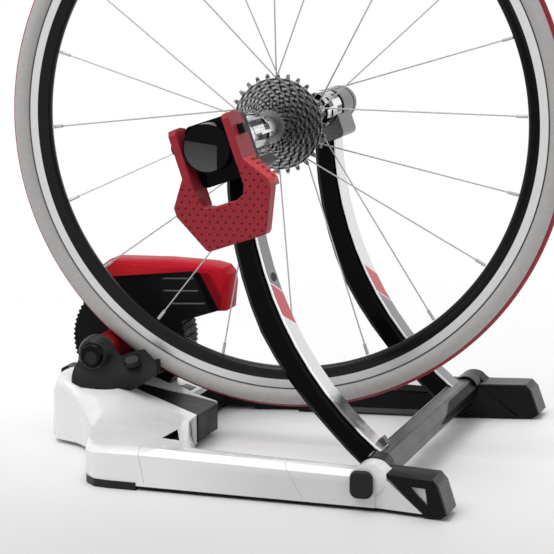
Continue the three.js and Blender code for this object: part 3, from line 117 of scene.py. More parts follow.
class Material:
    """A node material with short calls for its graph. A mask is 1 inside and 0 outside."""

    def __init__(self, name, color, roughness=0.5, metallic=0.0, **sockets):
        self.material = bpy.data.materials.new(name)
        self.material.use_nodes = True
        self.tree = self.material.node_tree
        self.tree.nodes.clear()
        self.out = self.node("ShaderNodeOutputMaterial")
        self.bsdf = self.node("ShaderNodeBsdfPrincipled")
        self.link(self.bsdf.outputs[0], self.out.inputs[0])
        self.bsdf.inputs["Base Color"].default_value = (*color, 1)
        self.bsdf.inputs["Roughness"].default_value = roughness
        self.bsdf.inputs["Metallic"].default_value = metallic
        for key, value in sockets.items():
            self.bsdf.inputs[key.replace("_", " ")].default_value = value
        self.coord = self.node("ShaderNodeTexCoord").outputs["Object"]

    def node(self, kind, **settings):
        made = self.tree.nodes.new(kind)
        for key, value in settings.items():
            setattr(made, key, value)
        return made

    def link(self, source, target):
        self.tree.links.new(source, target)

    def feed(self, socket, value):
        """Sets a socket to a number or a colour, or links it to another socket."""
        if isinstance(value, (int, float)):
            socket.default_value = value
        elif isinstance(value, tuple):
            socket.default_value = (*value, 1)
        else:
            self.link(value, socket)

    def math(self, operation, a, b=0.0):
        made = self.node("ShaderNodeMath", operation=operation)
        self.feed(made.inputs[0], a)
        self.feed(made.inputs[1], b)
        return made.outputs[0]

    def add(self, a, b):
        return self.math("ADD", a, b)

    def times(self, a, b):
        return self.math("MULTIPLY", a, b)

    def distance(self, a, b):
        return self.math("SQRT", self.add(self.times(a, a), self.times(b, b)))

    def millimetres(self):
        """Object coordinates in millimetres, with y from the wheel's middle."""
        made = self.node("ShaderNodeSeparateXYZ")
        self.link(self.coord, made.inputs[0])
        x, y, z = made.outputs
        return self.times(x, 1000), self.times(self.add(y, -HUB.y), 1000), self.times(z, 1000)

    def stretched(self, scale):
        made = self.node("ShaderNodeMapping")
        self.link(self.coord, made.inputs[0])
        made.inputs["Scale"].default_value = scale
        return made.outputs[0]

    def noise(self, scale, detail=3.0, roughness=0.55, vector=None):
        made = self.node("ShaderNodeTexNoise")
        self.link(vector or self.coord, made.inputs["Vector"])
        made.inputs["Scale"].default_value = scale
        made.inputs["Detail"].default_value = detail
        made.inputs["Roughness"].default_value = roughness
        return made.outputs["Fac"]

    def ramp(self, value, low, high, to_low=0.0, to_high=1.0, smooth=False):
        """Rises from one number at low to another at high."""
        made = self.node("ShaderNodeMapRange", interpolation_type="SMOOTHSTEP" if smooth else "LINEAR")
        self.feed(made.inputs["Value"], value)
        for key, number in (("From Min", low), ("From Max", high), ("To Min", to_low), ("To Max", to_high)):
            self.feed(made.inputs[key], number)
        return made.outputs["Result"]

    def falling(self, value, low, high, smooth=False):
        """1 below low, 0 above high."""
        return self.ramp(value, low, high, 1.0, 0.0, smooth)

    def uneven(self, noise, low, high):
        """Wanders between low and high with a noise, which is mostly between 0.3 and 0.7."""
        return self.ramp(noise, 0.3, 0.7, low, high)

    def band(self, value, low, high, soft=0.3):
        """1 between low and high, 0 outside."""
        entered = self.ramp(value, low - soft, low + soft)
        return self.times(entered, self.falling(value, high - soft, high + soft))

    def every(self, *masks):
        """1 where all the masks are 1."""
        product = masks[0]
        for mask in masks[1:]:
            product = self.times(product, mask)
        return product

    def mix(self, factor, a, b):
        made = self.node("ShaderNodeMix", data_type="RGBA")
        self.feed(made.inputs[0], factor)
        self.feed(made.inputs[6], a)
        self.feed(made.inputs[7], b)
        return made.outputs[2]

    def paint(self, mask, color):
        """The base colour so far, with another colour inside the mask."""
        socket = self.bsdf.inputs["Base Color"]
        self.link(self.mix(mask, socket.links[0].from_socket, color), socket)

    def number(self, name, value):
        self.feed(self.bsdf.inputs[name], value)

    def switch(self, name, mask, outside, inside):
        """One of the shader's numbers, with one value outside the mask and another inside."""
        self.number(name, self.ramp(mask, 0.0, 1.0, outside, inside))

    def bump(self, height, strength, distance):
        made = self.node("ShaderNodeBump")
        made.inputs["Strength"].default_value = strength
        made.inputs["Distance"].default_value = distance
        self.link(height, made.inputs["Height"])
        normal = self.bsdf.inputs["Normal"]
        if normal.links:
            self.link(normal.links[0].from_socket, made.inputs["Normal"])
        self.link(made.outputs[0], normal)


def grey(value):
    return (value, value, value)


def spread_of(color, spread):
    """A darker and a lighter shade of a colour."""
    dark = tuple(part * (1 - spread) for part in color)
    light = tuple(min(1.0, part * (1 + spread)) for part in color)
    return dark, light


def varied(name, color, roughness, metallic=0.0, spread=0.12, grain=900.0, bump=0.05, gloss=0.08, **sockets):
    """A surface with soft colour variation, a fine grain and uneven gloss."""
    m = Material(name, color, roughness, metallic, **sockets)
    dark, light = spread_of(color, spread)
    m.number("Base Color", m.mix(m.noise(14.0, 4.0), dark, light))
    low, high = max(0.02, roughness - gloss), roughness + gloss
    m.number("Roughness", m.uneven(m.noise(40.0, 5.0), low, high))
    m.bump(m.noise(grain, 2.0), bump, 0.0004)
    return m


# Noise scales that draw streaks along one axis
ALONG_X = (1, 60, 60)
ALONG_Y = (60, 1, 60)


def brushed(name, color, roughness, stretch=ALONG_X, metallic=1.0, bump=0.08, spread=0.1):
    """Metal with fine streaks."""
    m = Material(name, color, roughness, metallic)
    streaks = m.noise(30.0, 4.0, 0.6, m.stretched(stretch))
    dark, light = spread_of(color, spread)
    m.number("Base Color", m.mix(streaks, dark, light))
    m.number("Roughness", m.uneven(streaks, roughness * 0.75, roughness * 1.3))
    m.bump(streaks, bump, 0.0003)
    return m


def wheel_radius(m):
    """Distance from the wheel's axis."""
    x, _, z = m.millimetres()
    return m.distance(x, m.add(z, -HUB_HEIGHT))


def wheel_turn(m):
    """Angle about the wheel's axis."""
    x, _, z = m.millimetres()
    return m.math("ARCTAN2", m.add(z, -HUB_HEIGHT), x)


# Materials of the wheel

def tyre_material():
    """Grey sidewall with a dark line at the rim and a crimson tread."""
    line_end = (316.8, 318.2)
    tread_start = (335.6, 336.2)
    m = Material("tyre", (0.3, 0.29, 0.285), 0.6, Specular_IOR_Level=0.3)
    radius = wheel_radius(m)
    m.number("Base Color", m.mix(m.noise(180.0, 4.0), (0.36, 0.350, 0.343), (0.47, 0.457, 0.448)))
    m.paint(m.falling(radius, *line_end), grey(0.05))
    m.paint(m.ramp(radius, *tread_start), m.mix(m.noise(60.0), (0.20, 0.006, 0.015), (0.29, 0.010, 0.024)))
    m.number("Roughness", m.uneven(m.noise(90.0, 4.0), 0.5, 0.72))
    m.bump(m.noise(2200.0, 2.0), 0.12, 0.0003)
    return m


def rim_material():
    """Gloss black with a turned brake track."""
    track_start, track_end = 306.2, 316.5
    m = Material("rim", (0.006, 0.006, 0.007), 0.16, Specular_IOR_Level=0.16)
    radius = wheel_radius(m)
    track = m.band(radius, track_start, track_end, 0.2)
    rings = m.node("ShaderNodeCombineXYZ")
    m.link(radius, rings.inputs[0])
    grooves = m.noise(2.5, vector=rings.outputs[0])
    m.number("Base Color", m.mix(m.noise(20.0), (0.004, 0.004, 0.005), (0.008, 0.008, 0.009)))
    m.paint(track, m.mix(grooves, (0.52, 0.525, 0.53), (0.78, 0.785, 0.79)))
    m.number("Metallic", m.times(track, 0.85))
    m.switch("Roughness", track, 0.16, 0.34)
    m.bump(m.times(grooves, track), 0.15, 0.0002)
    return m


def sprocket_material():
    """Dark steel; on each disc, dark patches of painted shade stand for its lightening holes, and bright ones
    are painted glints.
    """
    spots_in_turn, spiral, rings = 22.0, 0.9, 1.6
    m = brushed("sprocket", (0.22, 0.22, 0.225), 0.3, (40, 1, 40))
    radius = wheel_radius(m)
    wave = m.math("SINE", m.add(m.times(wheel_turn(m), spots_in_turn), m.times(radius, spiral)))
    shade_and_glint_pattern = m.add(wave, m.math("SINE", m.times(radius, rings)))
    # Painted shade of the lightening holes, then painted glints on the discs
    m.paint(m.ramp(shade_and_glint_pattern, 0.5, 0.9), (0.035, 0.035, 0.036))
    m.paint(m.falling(shade_and_glint_pattern, -1.3, -1.0), (0.5, 0.5, 0.51))
    return m


# Materials of the A-frame

def lever_frame(m):
    """Distances across and up the leaning lever, from the wheel's axis."""
    x, _, z = m.millimetres()
    rise = m.add(z, -HUB_HEIGHT)
    across = m.add(m.times(x, math.cos(TILT)), m.times(rise, math.sin(TILT)))
    up = m.add(m.times(x, -math.sin(TILT)), m.times(rise, math.cos(TILT)))
    return across, up


def lever_material():
    """Matt red, with painted shade in the dimples low on its near face, and its ribbed flank painted lighter
    as a painted highlight.
    """
    row_pitch, dimple_pitch, dimple_radius, dimples_top = 6.7, 9.0, 1.3, -31.0
    near_side, flank_side = -282.1, -281.0
    flank_across, flank_up = (35.0, 62.0), (-56.0, -22.0)
    m = varied("lever_red", (0.30, 0.024, 0.035), 0.4, spread=0.1, grain=1500, bump=0.1, gloss=0.06,
               Specular_IOR_Level=0.12)
    x, y, z = m.millimetres()
    row = m.math("FLOOR", m.math("DIVIDE", z, row_pitch))
    shift = m.times(m.math("MODULO", row, 2.0), dimple_pitch / 2)
    aside = m.add(m.math("FLOORED_MODULO", m.add(x, shift), dimple_pitch), -dimple_pitch / 2)
    above = m.add(m.math("FLOORED_MODULO", z, row_pitch), -row_pitch / 2)
    across, up = lever_frame(m)
    near_face = m.falling(y, near_side - 0.3, near_side + 0.3)
    spot = m.falling(m.distance(aside, above), dimple_radius - 0.4, dimple_radius + 0.4, smooth=True)
    dimple = m.every(spot, near_face, m.falling(up, dimples_top - 1, dimples_top + 1))
    # The dimples are painted dark as the shade in them
    m.paint(dimple, (0.085, 0.006, 0.010))
    # Painted highlight: the ribbed flank is painted a lighter red
    lit_flank = m.every(m.band(across, *flank_across), m.band(up, *flank_up),
                    m.ramp(y, flank_side - 0.5, flank_side + 0.5))
    m.paint(lit_flank, (0.52, 0.010, 0.018))
    m.bump(m.math("SUBTRACT", 1.0, dimple), 0.6, 0.001)
    return m


def barrel_material():
    """Gloss black, with a grey painted reflection in its end, lighter towards its lower side."""
    end_face, end_radius, patch_side = -279.0, 24.6, 12.0
    patch_low, patch_high, patch_lean = -25.0, 5.0, 0.12
    m = varied("barrel_black", (0.003, 0.003, 0.0032), 0.1, spread=0.3, grain=500, bump=0.02, gloss=0.03,
               Specular_IOR_Level=0.05)
    x, y, z = m.millimetres()
    up = m.add(m.add(z, -HUB_HEIGHT), m.times(x, patch_lean))
    end = m.every(m.falling(wheel_radius(m), end_radius, end_radius + 0.4),
                  m.falling(y, end_face - 0.5, end_face))
    # Painted reflection: a grey patch in the end, lighter low down
    reflection_patch = m.every(end, m.falling(x, patch_side - 0.4, patch_side + 0.4),
                     m.band(up, patch_low, patch_high))
    patch_fade = m.ramp(up, patch_low + 1, patch_high - 1)
    m.paint(reflection_patch, m.mix(patch_fade, (0.085, 0.085, 0.086), (0.045, 0.045, 0.046)))
    return m


def chrome_material():
    """Chrome with painted reflections in bands round the cup, painted shade in its bore and slots, and a dark
    rim line.
    """
    bore, wall_radius = (15.4, 21.6), (21.0, 21.4)
    slots_in_turn, rim_line = 8.0, (176.0, 179.0)
    m = varied("chrome", (0.74, 0.75, 0.76), 0.1, metallic=1.0, spread=0.04, grain=400, bump=0.02, gloss=0.04)
    radius, turn = wheel_radius(m), wheel_turn(m)
    out = m.math("ABSOLUTE", m.millimetres()[1])
    wall = m.ramp(radius, *wall_radius)
    # The bands round the cup are painted reflections
    reflection = m.ramp(m.math("SINE", m.times(turn, 5.0)), -0.5, 0.6, smooth=True)
    m.number("Base Color", m.mix(reflection, (0.42, 0.425, 0.43), (0.84, 0.85, 0.86)))
    # Painted shade in the bore
    m.paint(m.band(radius, *bore, 0.15), (0.01, 0.01, 0.011))
    # Slots painted dark, as the shade inside them
    for phase, low, high in ((0.35, 121.0, 139.0), (0.74, 153.0, 175.0)):
        spot = m.math("COSINE", m.times(m.add(turn, phase), slots_in_turn))
        m.paint(m.every(m.ramp(spot, 0.1, 0.3), m.band(out, low, high), wall), (0.008, 0.008, 0.009))
    m.paint(m.every(m.band(out, *rim_line), wall), (0.06, 0.06, 0.062))
    return m


def plate_material(name, middle, edge, top, slope, length, above, below):
    """Brushed plate of an upright: one red band between two fine pale lines, painted reflections in one shade
    above the band and another below it, and a painted highlight along its pale edge.
    """
    line = 1.6
    m = brushed(name, below, 0.2, (3, 60, 3), metallic=0.75, bump=0.05, spread=0.06)
    _, y, z = m.millimetres()
    level = m.add(m.add(z, -top), m.times(m.add(y, -middle), slope))
    # Painted reflections: the plate is one shade above the band and another below it
    m.paint(m.ramp(level, -0.3, 0.3), above)
    m.paint(m.band(level, -length, 0.0), (0.50, 0.035, 0.05))
    m.paint(m.band(level, -line, 0.0), grey(0.8))
    m.paint(m.band(level, -length, line - length), grey(0.8))
    # Painted highlight along the edge
    m.paint(m.falling(y, edge - 0.3, edge + 0.3), grey(0.85))
    return m


def near_plate_material():
    """The near plate, with a dark painted reflection across its lower part and a black screw above the band.
    """
    reflection_low, reflection_high, ragged = 74.0, 104.0, 24.0
    screw_y, screw_z, screw_radius, screw_width = -171.5, 236.0, 5.0, 2.0
    m = plate_material("plate_near", middle=-174.0, edge=-189.5, top=226.0, slope=0.475, length=38.0,
                       above=(0.17, 0.17, 0.175), below=(0.74, 0.75, 0.76))
    _, y, z = m.millimetres()
    height = m.add(z, m.times(m.add(m.noise(60.0), -0.5), ragged))
    # Painted reflection: a ragged dark band across the lower part
    m.paint(m.times(m.band(height, reflection_low, reflection_high, 4.0), 0.85), (0.10, 0.092, 0.096))
    away = m.distance(m.times(m.add(y, -screw_y), 1 / screw_width), m.add(z, -screw_z))
    screw = m.falling(away, screw_radius - 0.4, screw_radius + 0.4)
    m.paint(screw, grey(0.002))
    m.switch("Metallic", screw, 0.75, 0.0)
    m.switch("Specular IOR Level", screw, 0.5, 0.05)
    return m


def crossbar_material():
    """Dark grey bar: a painted highlight along its rear edge, dark ridge lines and a black painted reflection
    on its far end.
    """
    m = varied("crossbar", (0.075, 0.075, 0.077), 0.36, metallic=0.2, spread=0.1, grain=700, gloss=0.06,
               Specular_IOR_Level=0.3)
    x, y, z = m.millimetres()
    # Dark lines, and the pale row is a painted highlight along the rear top edge
    for start, end, low, high, color in (
        (163.6, 165.6, 50.4, 50.8, grey(0.012)),
        (161.6, 163.2, 47.5, 48.5, grey(0.6)),
        (179.2, 180.6, 49.8, 50.2, grey(0.008)),
    ):
        m.paint(m.every(m.band(x, start, end), m.ramp(z, low, high)), color)
    # Painted reflection: the far front is black beyond a wedge-shaped line
    wedge_start, wedge_height, wedge_slope, front_face = 11.0, 36.9, 6.2, 182.0
    from_tip = m.times(m.math("ABSOLUTE", m.add(z, -wedge_height)), -wedge_slope)
    reflection_wedge = m.ramp(m.add(m.add(y, -wedge_start), from_tip), -1.0, 1.0)
    reflection_wedge = m.every(reflection_wedge, m.ramp(x, front_face - 0.5, front_face + 0.5))
    m.paint(reflection_wedge, grey(0.004))
    m.switch("Metallic", reflection_wedge, 0.2, 0.0)
    m.switch("Specular IOR Level", reflection_wedge, 0.3, 0.04)
    return m


# Materials of the base

def inside_outline(m, outline, low, high):
    """A mask of what lies inside a counter-clockwise outline and between two heights."""
    x, y, z = m.millimetres()
    inside = m.band(z, low, high, 0.25)
    for (x0, y0), (x1, y1) in zip(outline, outline[1:] + outline[:1]):
        length = math.hypot(x1 - x0, y1 - y0)
        nx, ny = (y1 - y0) / length, (x0 - x1) / length
        away = m.add(m.add(m.times(x, nx), m.times(y, ny)), -(nx * x0 + ny * y0))
        inside = m.times(inside, m.falling(away, 0.3, 0.8))
    return inside


def shell_material(name, openings):
    """Gloss white moulding with seams, painted shade low on the near leg's front, and dark openings, each an
    outline between two heights.
    """
    coat, seam_bottom, seam_top, seam_half = 0.3, 8.0, 60.0, 0.35
    m = varied(name, (0.77, 0.77, 0.775), 0.24, spread=0.02, grain=500, bump=0.015, gloss=0.05,
               Coat_Weight=coat, Coat_Roughness=0.12)
    x, y, z = m.millimetres()
    # Painted shade: the near leg's lower front is a little darker
    low_front_shade = m.every(m.ramp(x, -60.0, 60.0), m.falling(z, 30.0, 42.0), m.falling(y, -225.0, -200.0))
    m.paint(m.times(low_front_shade, 0.8), (0.56, 0.56, 0.565))
    opened = 0.0
    for outline, low, high in openings:
        inside = inside_outline(m, outline, low, high)
        m.paint(inside, grey(0.012))
        opened = m.math("MAXIMUM", inside, opened)
    m.switch("Coat Weight", opened, coat, 0.0)
    m.switch("Specular IOR Level", opened, 0.5, 0.03)
    for place, lean, start in SEAMS:
        along = m.add(x, m.times(m.add(z, -seam_bottom), lean))
        seam = m.every(m.band(along, place - seam_half, place + seam_half, 0.2),
                       m.band(z, seam_bottom, seam_top, 2.0),
                       m.ramp(m.math("ABSOLUTE", y), start - 4.0, start + 4.0))
        m.paint(m.times(seam, 0.6), grey(0.2))
        m.bump(m.math("SUBTRACT", 1.0, seam), 0.3, 0.0006)
    return m


def far_shell_material():
    """The far shell, dark in its opening, with painted shade on the walls of its notch, and dark along its
    inner edge and at the pivot.
    """
    margin, left, inner = 0.6, -100, 100
    # The notch's outline is widened so that its walls are painted dark, as shade
    notch = [(x + math.copysign(margin, x - left), y + math.copysign(margin, y - inner)) for x, y in NOTCH]
    return shell_material("shell_far", [(FAR_OPENING, 20.0, 100.0), (notch, 1.0, 41.0),
                                        (FAR_INNER_EDGE, 1.0, 39.0), (FAR_PIVOT, 37.0, 100.0)])


def foot_material():
    """Moulded black with a finely grained toe, and a grey strip low on the far leg that is a painted
    reflection on its flange.
    """
    toe_slope, toe_height, toe_length = 0.345, 7, 1.4
    strip_along, strip_across, strip_up = (-20.0, 150.0), (180.0, 215.0), (2.5, 9.0)
    m = varied("foot_black", (0.0035, 0.0035, 0.004), 0.3, spread=0.25, grain=1400, bump=0.08, gloss=0.06,
               Specular_IOR_Level=0.13)
    x, y, z = m.millimetres()
    tip = 1000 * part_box("foot_near")[1].x + toe_height * toe_slope - toe_length
    forward = m.add(x, m.times(z, toe_slope))
    toe = m.every(m.ramp(forward, tip - 0.2, tip + 0.2), m.ramp(z, 4.0, 5.0))
    # Painted reflection: a grey strip low on the far leg
    reflection_strip = m.every(m.band(z, *strip_up), m.band(y, *strip_across), m.band(x, *strip_along, 4.0))
    m.paint(reflection_strip, (0.09, 0.09, 0.092))
    grain = m.noise(260.0)
    m.paint(toe, m.mix(grain, (0.024, 0.024, 0.025), (0.060, 0.060, 0.062)))
    m.bump(m.times(grain, toe), 0.4, 0.0006)
    return m


def charcoal_material():
    """Satin dark grey, glossier on the bearing cap with its dark groove; the cap's pale lip and a lighter
    patch low in it are painted highlights.
    """
    cap_radius, lip_radius, cap_face = 15.8, 17.0, -61.0
    highlight_inner, highlight_outer, highlight_lean = 5.0, 9.0, 0.35
    m = varied("charcoal", (0.009, 0.009, 0.0095), 0.4, spread=0.2, grain=1300, bump=0.12, gloss=0.06,
               Specular_IOR_Level=0.22)
    x, y, z = m.millimetres()
    across, up = m.add(x, -1000 * CAP.x), m.add(z, -1000 * CAP.z)
    radius = m.distance(across, up)
    front = m.falling(y, cap_face - 0.5, cap_face)
    m.paint(m.every(m.falling(radius, cap_radius - 0.4, cap_radius), front), grey(0.0015))
    # Painted highlight on the pale lip round the cap
    m.paint(m.every(m.band(radius, cap_radius, lip_radius), front), (0.04, 0.04, 0.041))
    # Painted highlight: a lighter patch low in the cap
    cap_highlight = m.falling(m.add(radius, m.times(up, highlight_lean)), highlight_inner, highlight_outer, smooth=True)
    m.paint(m.every(cap_highlight, front), (0.022, 0.022, 0.023))
    cap = m.every(m.falling(radius, cap_radius - 0.2, cap_radius), front)
    m.switch("Roughness", cap, 0.4, 0.2)
    m.switch("Specular IOR Level", cap, 0.22, 0.1)
    return m


def hood_material():
    """Red moulding: a black panel and a fold with painted shade on its near side, and painted light that
    makes the near side lighter towards its rear.
    """
    side_face, roof_edge, lean, lean_height = 45.4, 197.0, 0.55, 194.8
    rear_lit_span, panel_strip = (-205.0, -150.0), (-140.0, -119.0)
    fold_start, fold_end = (-150.0, -135.0), (-109.0, -104.0)
    m = varied("hood_red", (0.46, 0.010, 0.022), 0.3, spread=0.08, grain=400, bump=0.015, gloss=0.05,
               Specular_IOR_Level=0.02)
    x, y, z = m.millimetres()
    near = m.falling(y, side_face, side_face + 0.4)
    panel = m.times(near, m.falling(z, roof_edge, roof_edge + 1))
    forward = m.add(x, m.times(m.add(z, -lean_height), lean))
    # Painted light: the near side is lighter towards the rear
    m.paint(m.times(near, m.falling(x, *rear_lit_span)), (0.62, 0.022, 0.03))
    # Painted shade in the fold
    fold_shade = m.every(panel, m.ramp(forward, *fold_start), m.falling(forward, *fold_end))
    m.paint(fold_shade, (0.20, 0.006, 0.010))
    m.paint(m.times(panel, m.band(forward, *panel_strip)), grey(0.003))
    return m


def housing_material():
    """Moulded black, with level ribs round the drum whose crests have painted highlights, and painted
    highlights on the lips along three slots.
    """
    rib_pitch, drum_low, drum_high, drum_side, near_side = 3.6, 52.0, 134.0, 57.0, 51.5
    m = varied("housing_black", (0.006, 0.006, 0.0065), 0.42, spread=0.2, grain=1100, bump=0.08, gloss=0.07,
               Specular_IOR_Level=0.08)
    x, y, z = m.millimetres()
    rib = m.math("SINE", m.times(z, 2 * math.pi / rib_pitch))
    drum = m.every(m.band(z, drum_low, drum_high, 3.0), m.ramp(y, drum_side - 1, drum_side + 1))
    # Painted highlights on the rib crests
    m.paint(m.every(m.ramp(rib, 0.2, 0.8), drum), (0.045, 0.045, 0.046))
    near = m.falling(y, near_side, near_side + 0.5)
    slot_highlights = ((-170, 186.8, -130, 188.8), (-169, 171.8, -124, 173.8), (-158, 156.3, -115, 158.5))
    # Painted highlights along the lips of the slots
    for x0, z0, x1, z1 in slot_highlights:
        above = m.add(m.add(z, -z0), m.times(m.add(x, -x0), (z0 - z1) / (x1 - x0)))
        m.paint(m.every(m.band(above, -0.2, 1.3, 0.2), m.band(x, x0, x1), near), grey(0.2))
    m.bump(m.times(rib, drum), 0.8, 0.0012)
    return m


def make_materials():
    made = {
        "tyre": tyre_material(),
        "rim": rim_material(),
        "tube": varied("tube", grey(0.03), 0.6),
        "spoke": brushed("spoke", (0.5, 0.5, 0.51), 0.3, metallic=0.6),
        "alloy": brushed("hub_alloy", (0.30, 0.30, 0.31), 0.35),
        "sprocket": sprocket_material(),
        "steel": brushed("steel", (0.55, 0.56, 0.58), 0.3),
        "chrome": chrome_material(),
        "gloss_black": varied("gloss_black", (0.0022, 0.0022, 0.0024), 0.12, spread=0.3, grain=500, bump=0.02,
                              gloss=0.04, Specular_IOR_Level=0.05),
        "barrel": barrel_material(),
        "barrel_alloy": brushed("barrel_alloy", (0.11, 0.11, 0.115), 0.26, ALONG_Y, metallic=0.8),
        "crossbar": crossbar_material(),
        "gunmetal": varied("gunmetal", (0.05, 0.05, 0.052), 0.34, metallic=0.3, grain=700, bump=0.04,
                           gloss=0.06),
        "black": varied("moulded_black", (0.006, 0.006, 0.0065), 0.36, spread=0.25, bump=0.06, gloss=0.07,
                        Specular_IOR_Level=0.11),
        "foot": foot_material(),
        "housing": housing_material(),
        "charcoal": charcoal_material(),
        "shell_near": shell_material("shell_near", [(NEAR_OPENING, 20.0, 100.0)]),
        "shell_far": far_shell_material(),
        "lever": lever_material(),
        "plate_near": near_plate_material(),
        "plate_far": plate_material("plate_far", middle=174.0, edge=158.5, top=192.0, slope=0.55, length=35.0,
                                    above=(0.76, 0.77, 0.78), below=(0.20, 0.20, 0.205)),
        "hood": hood_material(),
        "roller": brushed("roller_red", (0.36, 0.012, 0.02), 0.35, ALONG_Y, metallic=0.4),
        "rubber": varied("rubber", grey(0.008), 0.5, spread=0.2, grain=1200, bump=0.12,
                         Specular_IOR_Level=0.25),
        "iron": brushed("iron", (0.2, 0.2, 0.21), 0.45, ALONG_Y),
    }
    return {key: m.material for key, m in made.items()}


MATERIALS = make_materials()


# Mesh helpers

def set_material(obj, material):
    obj.data.materials.clear()
    obj.data.materials.append(material)


def bake(bm, name):
    """An object made from a bmesh, which is used up."""
    mesh = bpy.data.meshes.new(name)
    bm.to_mesh(mesh)
    bm.free()
    obj = bpy.data.objects.new(name, mesh)
    scene.collection.objects.link(obj)
    return obj


def apply_modifiers(obj):
    graph = bpy.context.evaluated_depsgraph_get()
    mesh = bpy.data.meshes.new_from_object(obj.evaluated_get(graph))
    obj.modifiers.clear()
    obj.data = mesh


def shade(obj, angle=35):
    for polygon in obj.data.polygons:
        polygon.use_smooth = True
    obj.data.set_sharp_from_angle(angle=math.radians(angle))


def bevel(obj, width, segments=2, angle=30):
    modifier = obj.modifiers.new("bevel", "BEVEL")
    modifier.width = width
    modifier.segments = segments
    modifier.limit_method = "ANGLE"
    modifier.angle_limit = math.radians(angle)
    modifier.use_clamp_overlap = True
    modifier.harden_normals = True


def clean(bm, merge=2e-6, flat=0.6):
    """Joins vertices that meet, and faces that lie in one plane."""
    bmesh.ops.remove_doubles(bm, verts=bm.verts, dist=merge)
    bmesh.ops.dissolve_limit(bm, angle_limit=math.radians(flat), verts=bm.verts, edges=bm.edges)


def join_rings(bm, a, b):
    """Faces between two rings with as many vertices."""
    for i in range(len(a)):
        j = (i + 1) % len(a)
        bm.faces.new((a[i], a[j], b[j], b[i]))


def about_y(place):
    """Stands a cone's axis along y at a place."""
    return Matrix.Translation(place) @ Matrix.Rotation(math.pi / 2, 4, "X")


def slot_of(node):
    for entry in frame["record"]["subparts"]:
        if entry["node"] == node:
            return entry["material_slot"]


def finish_piece(obj, body, slot, *replaced):
    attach(obj, body)
    if replaced:
        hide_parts(*replaced)


def replace_node(obj, node):
    finish_piece(obj, NODES[node]["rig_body"], slot_of(node), node)


# Cuts that the solids lack

def cut(obj, outline, low, high, place):
    """Takes the inside of an upright prism, given in millimetres, out of a skin."""
    bm = bmesh.new()
    rings = [[bm.verts.new((x / 1000, y / 1000, z / 1000)) for x, y in outline] for z in (low, high)]
    bm.faces.new(rings[0])
    bm.faces.new(rings[1])
    join_rings(bm, *rings)
    bmesh.ops.recalc_face_normals(bm, faces=bm.faces)
    bmesh.ops.transform(bm, matrix=place, verts=bm.verts)
    tool = bake(bm, "cutter")
    modifier = obj.modifiers.new("cut", "BOOLEAN")
    modifier.operation = "DIFFERENCE"
    modifier.solver = "EXACT"
    modifier.object = tool
    apply_modifiers(obj)
    bm = bmesh.new()
    bm.from_mesh(obj.data)
    clean(bm)
    bm.to_mesh(obj.data)
    bm.free()
    bpy.data.objects.remove(tool)


def cut_notch(obj):
    """The gap between the far shell's front and its leg."""
    bottom, top = -10, 70
    cut(obj, NOTCH, bottom, top, Matrix.Translation((0, HUB.y, 0)))


def cut_saddle(obj):
    """The open front half of the near clamp housing, in which the lower half of the cup shows."""
    half, start, end = 40, -199.5, -150
    bottom, top = -27, 60
    outline = [(-half, start), (half, start), (half, end), (-half, end)]
    cut(obj, outline, bottom, top, Matrix.Translation(HUB) @ Matrix.Rotation(-TILT, 4, "Y"))


CUTS = {"foot_far": cut_notch, "clamp_housing_near": cut_saddle}


def slimmer_foot(bm):
    """Draws an upright's outer edge in towards its foot, along the arc of the upright."""
    center_x, center_z, sweep = 0.431, 0.364, 0.881
    start, length = 0.5, 0.35
    inner_radius, edge_width, depth = 0.420, 0.012, 0.009
    for vert in bm.verts:
        across, down = vert.co.x - center_x, center_z - vert.co.z
        radius = math.hypot(across, down)
        travelled = math.atan2(down, -across) / sweep
        lower = min(1.0, max(0.0, (travelled - start) / length))
        outer = min(1.0, max(0.0, (radius - inner_radius) / edge_width))
        inward = depth * lower * outer
        vert.co.x -= inward * across / radius
        vert.co.z += inward * down / radius


# Nodes shown as they are with their material, and nodes shown as a copy with rounded edges, each with
# its material and the width of the rounding

PLAIN = {
    "inner_tube": "tube",
    "hub_shell": "alloy",
    "hub_axle": "alloy",
    "freehub_body": "alloy",
    "cassette_lockring": "alloy",
    "skewer_rod": "steel",
    "flywheel": "iron",
    "roller_bearing_near": "steel",
}

ROUNDED = {
    "cassette_large_sprockets": ("sprocket", 0.0),
    "cassette_small_sprockets": ("sprocket", 0.0),
    "skewer_nut": ("steel", 0.0006),
    "skewer_lever": ("steel", 0.0008),
    "upright_near": ("gloss_black", 0.003),
    "upright_far": ("gloss_black", 0.003),
    "upright_face_near": ("plate_near", 0.0003),
    "upright_face_far": ("plate_far", 0.0003),
    "clamp_housing_near": ("barrel", 0.002),
    "clamp_housing_far": ("barrel_alloy", 0.0015),
    "clamp_cup_near": ("chrome", 0.0004),
    "clamp_cup_far": ("chrome", 0.0004),
    "clamp_lever": ("lever", 0.0015),
    "clamp_lever_pin": ("black", 0.0008),
    "base_spine": ("black", 0.002),
    "foot_near": ("foot", 0.0015),
    "foot_far": ("foot", 0.0015),
    "rear_pad_near": ("rubber", 0.0008),
    "rear_pad_far": ("rubber", 0.0008),
    "rear_pad_centre": ("rubber", 0.0008),
    "pivot_cap_near": ("rubber", 0.0015),
    "pivot_cap_far": ("rubber", 0.0015),
    "roller": ("roller", 0.0008),
    "brake_housing": ("housing", 0.0006),
    "brake_cover": ("housing", 0.0006),
    "brake_hood": ("hood", 0.003),
}


def add_rounded(node, material, width):
    """A cleaned copy of a node with rounded edges, in the node's place."""
    bm = bmesh.new()
    bm.from_mesh(NODES[node].data)
    if node in ("upright_near", "upright_far"):
        slimmer_foot(bm)
    clean(bm)
    obj = bake(bm, node + "_skin")
    if node in CUTS:
        CUTS[node](obj)
    set_material(obj, MATERIALS[material])
    sharp_angle = 60 if node == "brake_hood" else 35
    shade(obj, sharp_angle)
    if width:
        bevel(obj, width)
    replace_node(obj, node)


